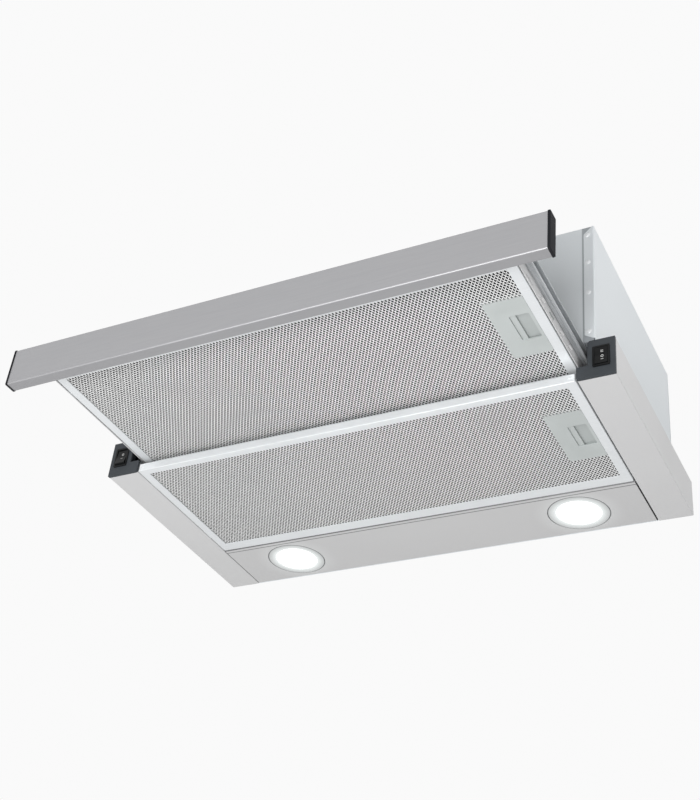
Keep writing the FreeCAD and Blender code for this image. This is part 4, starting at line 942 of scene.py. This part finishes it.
# %% The head and the tree that sets the screws
HEAD_STEPS = 24
SHANK_STEPS = 16
DOME = ((0.62, 1.0), (0.8, 0.93), (0.93, 0.72), (1.0, 0.3), (1.0, 0.0))   # shares of radius and height, top first
CROSS_LONG, CROSS_THIN = 0.48 * HEAD_RADIUS, 0.12 * HEAD_RADIUS
CROSS_FLOOR = (0.7, 0.6, 0.25)   # the floor of the cross: shares of its length, its width and the head's height


def make_head():
    """A domed head whose seat is at z = 0, with a tapered cross recess."""
    build = bmesh.new()
    turns = [2 * math.pi * i / HEAD_STEPS for i in range(HEAD_STEPS)]
    rings = [[build.verts.new((HEAD_RADIUS * radius * math.cos(turn), HEAD_RADIUS * radius * math.sin(turn),
                               HEAD_HIGH * height)) for turn in turns] for radius, height in DOME]
    for upper, lower in zip(rings, rings[1:]):
        for i in range(HEAD_STEPS):
            after = (i + 1) % HEAD_STEPS
            build.faces.new((upper[i], lower[i], lower[after], upper[after]))
    build.faces.new(rings[-1][::-1])
    long, thin = CROSS_LONG, CROSS_THIN
    outline = [(long, -thin), (long, thin), (thin, thin), (thin, long), (-thin, long), (-thin, thin),
               (-long, thin), (-long, -thin), (-thin, -thin), (-thin, -long), (thin, -long), (thin, -thin)]
    mouth = [build.verts.new((x, y, HEAD_HIGH)) for x, y in outline]
    deep = [build.verts.new((x * CROSS_FLOOR[0], y * CROSS_FLOOR[1], HEAD_HIGH * CROSS_FLOOR[2]))
            for x, y in outline]
    for i in range(len(outline)):
        after = (i + 1) % len(outline)
        build.faces.new((mouth[i], mouth[after], deep[after], deep[i]))
    build.faces.new(deep)
    edges = [build.edges.get((loop[i], loop[(i + 1) % len(loop)])) for loop in (rings[0], mouth)
             for i in range(len(loop))]
    bmesh.ops.triangle_fill(build, edges=[e for e in edges if len(e.link_faces) == 1], use_beauty=True)
    bmesh.ops.recalc_face_normals(build, faces=build.faces)
    return bpy.data.objects.new("screw_head", built_mesh("screw_head", build))


def make_screw_tree(head):
    """Sets a head and a shank on every point, along its aim, the shank as long as its reach."""
    tree, given, made = geometry_tree("set screws", [("Shank radius", SHANK_RADIUS)])
    aim = add(tree, "GeometryNodeInputNamedAttribute", data_type="FLOAT_VECTOR")
    aim.inputs["Name"].default_value = "aim"
    reach = add(tree, "GeometryNodeInputNamedAttribute", data_type="FLOAT")
    reach.inputs["Name"].default_value = "reach"
    turn = add(tree, "FunctionNodeAlignRotationToVector", axis="Z")
    join(tree, aim.outputs["Attribute"], turn.inputs["Vector"])
    heads = add(tree, "GeometryNodeInstanceOnPoints")
    info = add(tree, "GeometryNodeObjectInfo")
    info.inputs["Object"].default_value = head
    join(tree, info.outputs["Geometry"], heads.inputs["Instance"])
    shanks = add(tree, "GeometryNodeInstanceOnPoints")
    shank = add(tree, "GeometryNodeMeshCylinder")
    shank.inputs["Vertices"].default_value = SHANK_STEPS
    shank.inputs["Depth"].default_value = 1.0
    join(tree, given.outputs["Shank radius"], shank.inputs["Radius"])
    lowered = add(tree, "GeometryNodeTransform")
    lowered.inputs["Translation"].default_value = (0.0, 0.0, -0.5)
    join(tree, shank.outputs["Mesh"], lowered.inputs["Geometry"])
    join(tree, lowered.outputs[0], shanks.inputs["Instance"])
    join(tree, vector(tree, 1.0, 1.0, reach.outputs["Attribute"]), shanks.inputs["Scale"])
    both = add(tree, "GeometryNodeJoinGeometry")
    for copies in (shanks, heads):
        join(tree, given.outputs["Geometry"], copies.inputs["Points"])
        join(tree, turn.outputs[0], copies.inputs["Rotation"])
        join(tree, copies.outputs[0], both.inputs[0])
    end_tree(tree, given, made, both.outputs[0])
    return tree


SCREW_HEAD = make_head()
SCREW_TREE = make_screw_tree(SCREW_HEAD)
print("screw head:", len(SCREW_HEAD.data.polygons), "faces; tree:", len(SCREW_TREE.nodes), "nodes")

# %% Put the screws in
def make_screws(node, body, measured):
    points = points_object(f"{node}_points", [place for place, aim, reach in measured])
    points.data.attributes.new("aim", "FLOAT_VECTOR", "POINT")
    points.data.attributes.new("reach", "FLOAT", "POINT")
    points.data.attributes["aim"].data.foreach_set("vector", [v for place, aim, reach in measured for v in aim])
    points.data.attributes["reach"].data.foreach_set("value", [reach for place, aim, reach in measured])
    screws = grown(points, SCREW_TREE, f"{node}_crossed", ZINC)
    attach(screws, body)
    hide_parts(node)
    print(node, len(measured), "screws, shanks in mm:", sorted({round(reach / MM, 1) for _, _, reach in measured}))
    return screws


SCREWS = [make_screws("casing_screws", "casing", CASING_SCREWS),
          make_screws("visor_screws", "visor", VISOR_SCREWS)]
print("screw pieces:", [piece.name for piece in SCREWS])

# %% [markdown]
# ## Floor, light and background
#
# The hood hangs high above a plain pale floor. Everything around it is white, as in a product
# picture: the camera and the reflections see a bright background, which itself sheds little light.
# A broad lamp low in front lights the underside, a weaker one from the right lights the side of the
# casing, and even light from high behind reaches the top, the back and the floor, which throws a
# little of it back up.

# %% Stage and light
FLOOR_DEPTH = 1.75       # below the lowest point of the hood
FLOOR_REACH = 8.0
BACKGROUND_LIGHT, BACKGROUND_SEEN = 0.2, 0.955
SIDE_LAMP = ((1.3, -0.3, 0.08), 0.9, 5.5)            # place, size in metres, watts
LOW_LAMP = ((0.0, -1.3, LOW.z - 1.1), 1.5, 31.0)
HIGH_LAMP = ((0.3, -0.75, -1.0), 50.0, 1.15)         # heading, spread in degrees, strength


def make_floor():
    build = bmesh.new()
    bmesh.ops.create_grid(build, x_segments=1, y_segments=1, size=FLOOR_REACH)
    material, tree, shader = begin("floor_paint", Roughness=0.8)
    patches = effect(tree, HANDLING, Patch_in_mm=400.0)["Patches"]
    tint(tree, shader, patches, linear("ECECEC"), linear("F2F2F2"))
    mesh = built_mesh("floor", build, material)
    mesh.transform(Matrix.Translation((0.0, 0.0, LOW.z - FLOOR_DEPTH)))
    floor = linked("floor", mesh)


def area_lamp(name, place, size, power):
    """A square lamp that looks at the middle of the hood."""
    data = bpy.data.lights.new(name, "AREA")
    data.shape = "SQUARE"
    data.size = size
    data.energy = power
    lamp = linked(name, data)
    lamp.location = place
    lamp.rotation_euler = ((LOW + HIGH) / 2 - Vector(place)).to_track_quat("-Z", "Y").to_euler()


def sky_lamp(name, heading, wide, strength):
    """Even light from far away, so soft that its shadows have no edge."""
    data = bpy.data.lights.new(name, "SUN")
    data.energy = strength
    data.angle = math.radians(wide)
    linked(name, data).rotation_euler = Vector(heading).to_track_quat("-Z", "Y").to_euler()


def make_world():
    """A white background that is bright to look at and sheds little light."""
    world = bpy.data.worlds.new("studio")
    bpy.context.scene.world = world
    world.use_nodes = True
    tree = world.node_tree
    back = tree.nodes["Background"]
    path = add(tree, "ShaderNodeLightPath")
    seen = 0.0
    for ray in ("Is Camera Ray", "Is Transmission Ray", "Is Glossy Ray"):
        seen = number(tree, "MAXIMUM", path.outputs[ray], seen)
    join(tree, spread(tree, seen, BACKGROUND_LIGHT, BACKGROUND_SEEN), back.inputs["Strength"])
    back.inputs["Color"].default_value = (1.0, 1.0, 1.0, 1.0)


make_floor()
make_world()
area_lamp("side_lamp", *SIDE_LAMP)
area_lamp("low_lamp", *LOW_LAMP)
sky_lamp("high_lamp", *HIGH_LAMP)
bpy.context.scene.view_settings.view_transform = "Standard"
print("floor at", round(LOW.z - FLOOR_DEPTH, 3), "m")
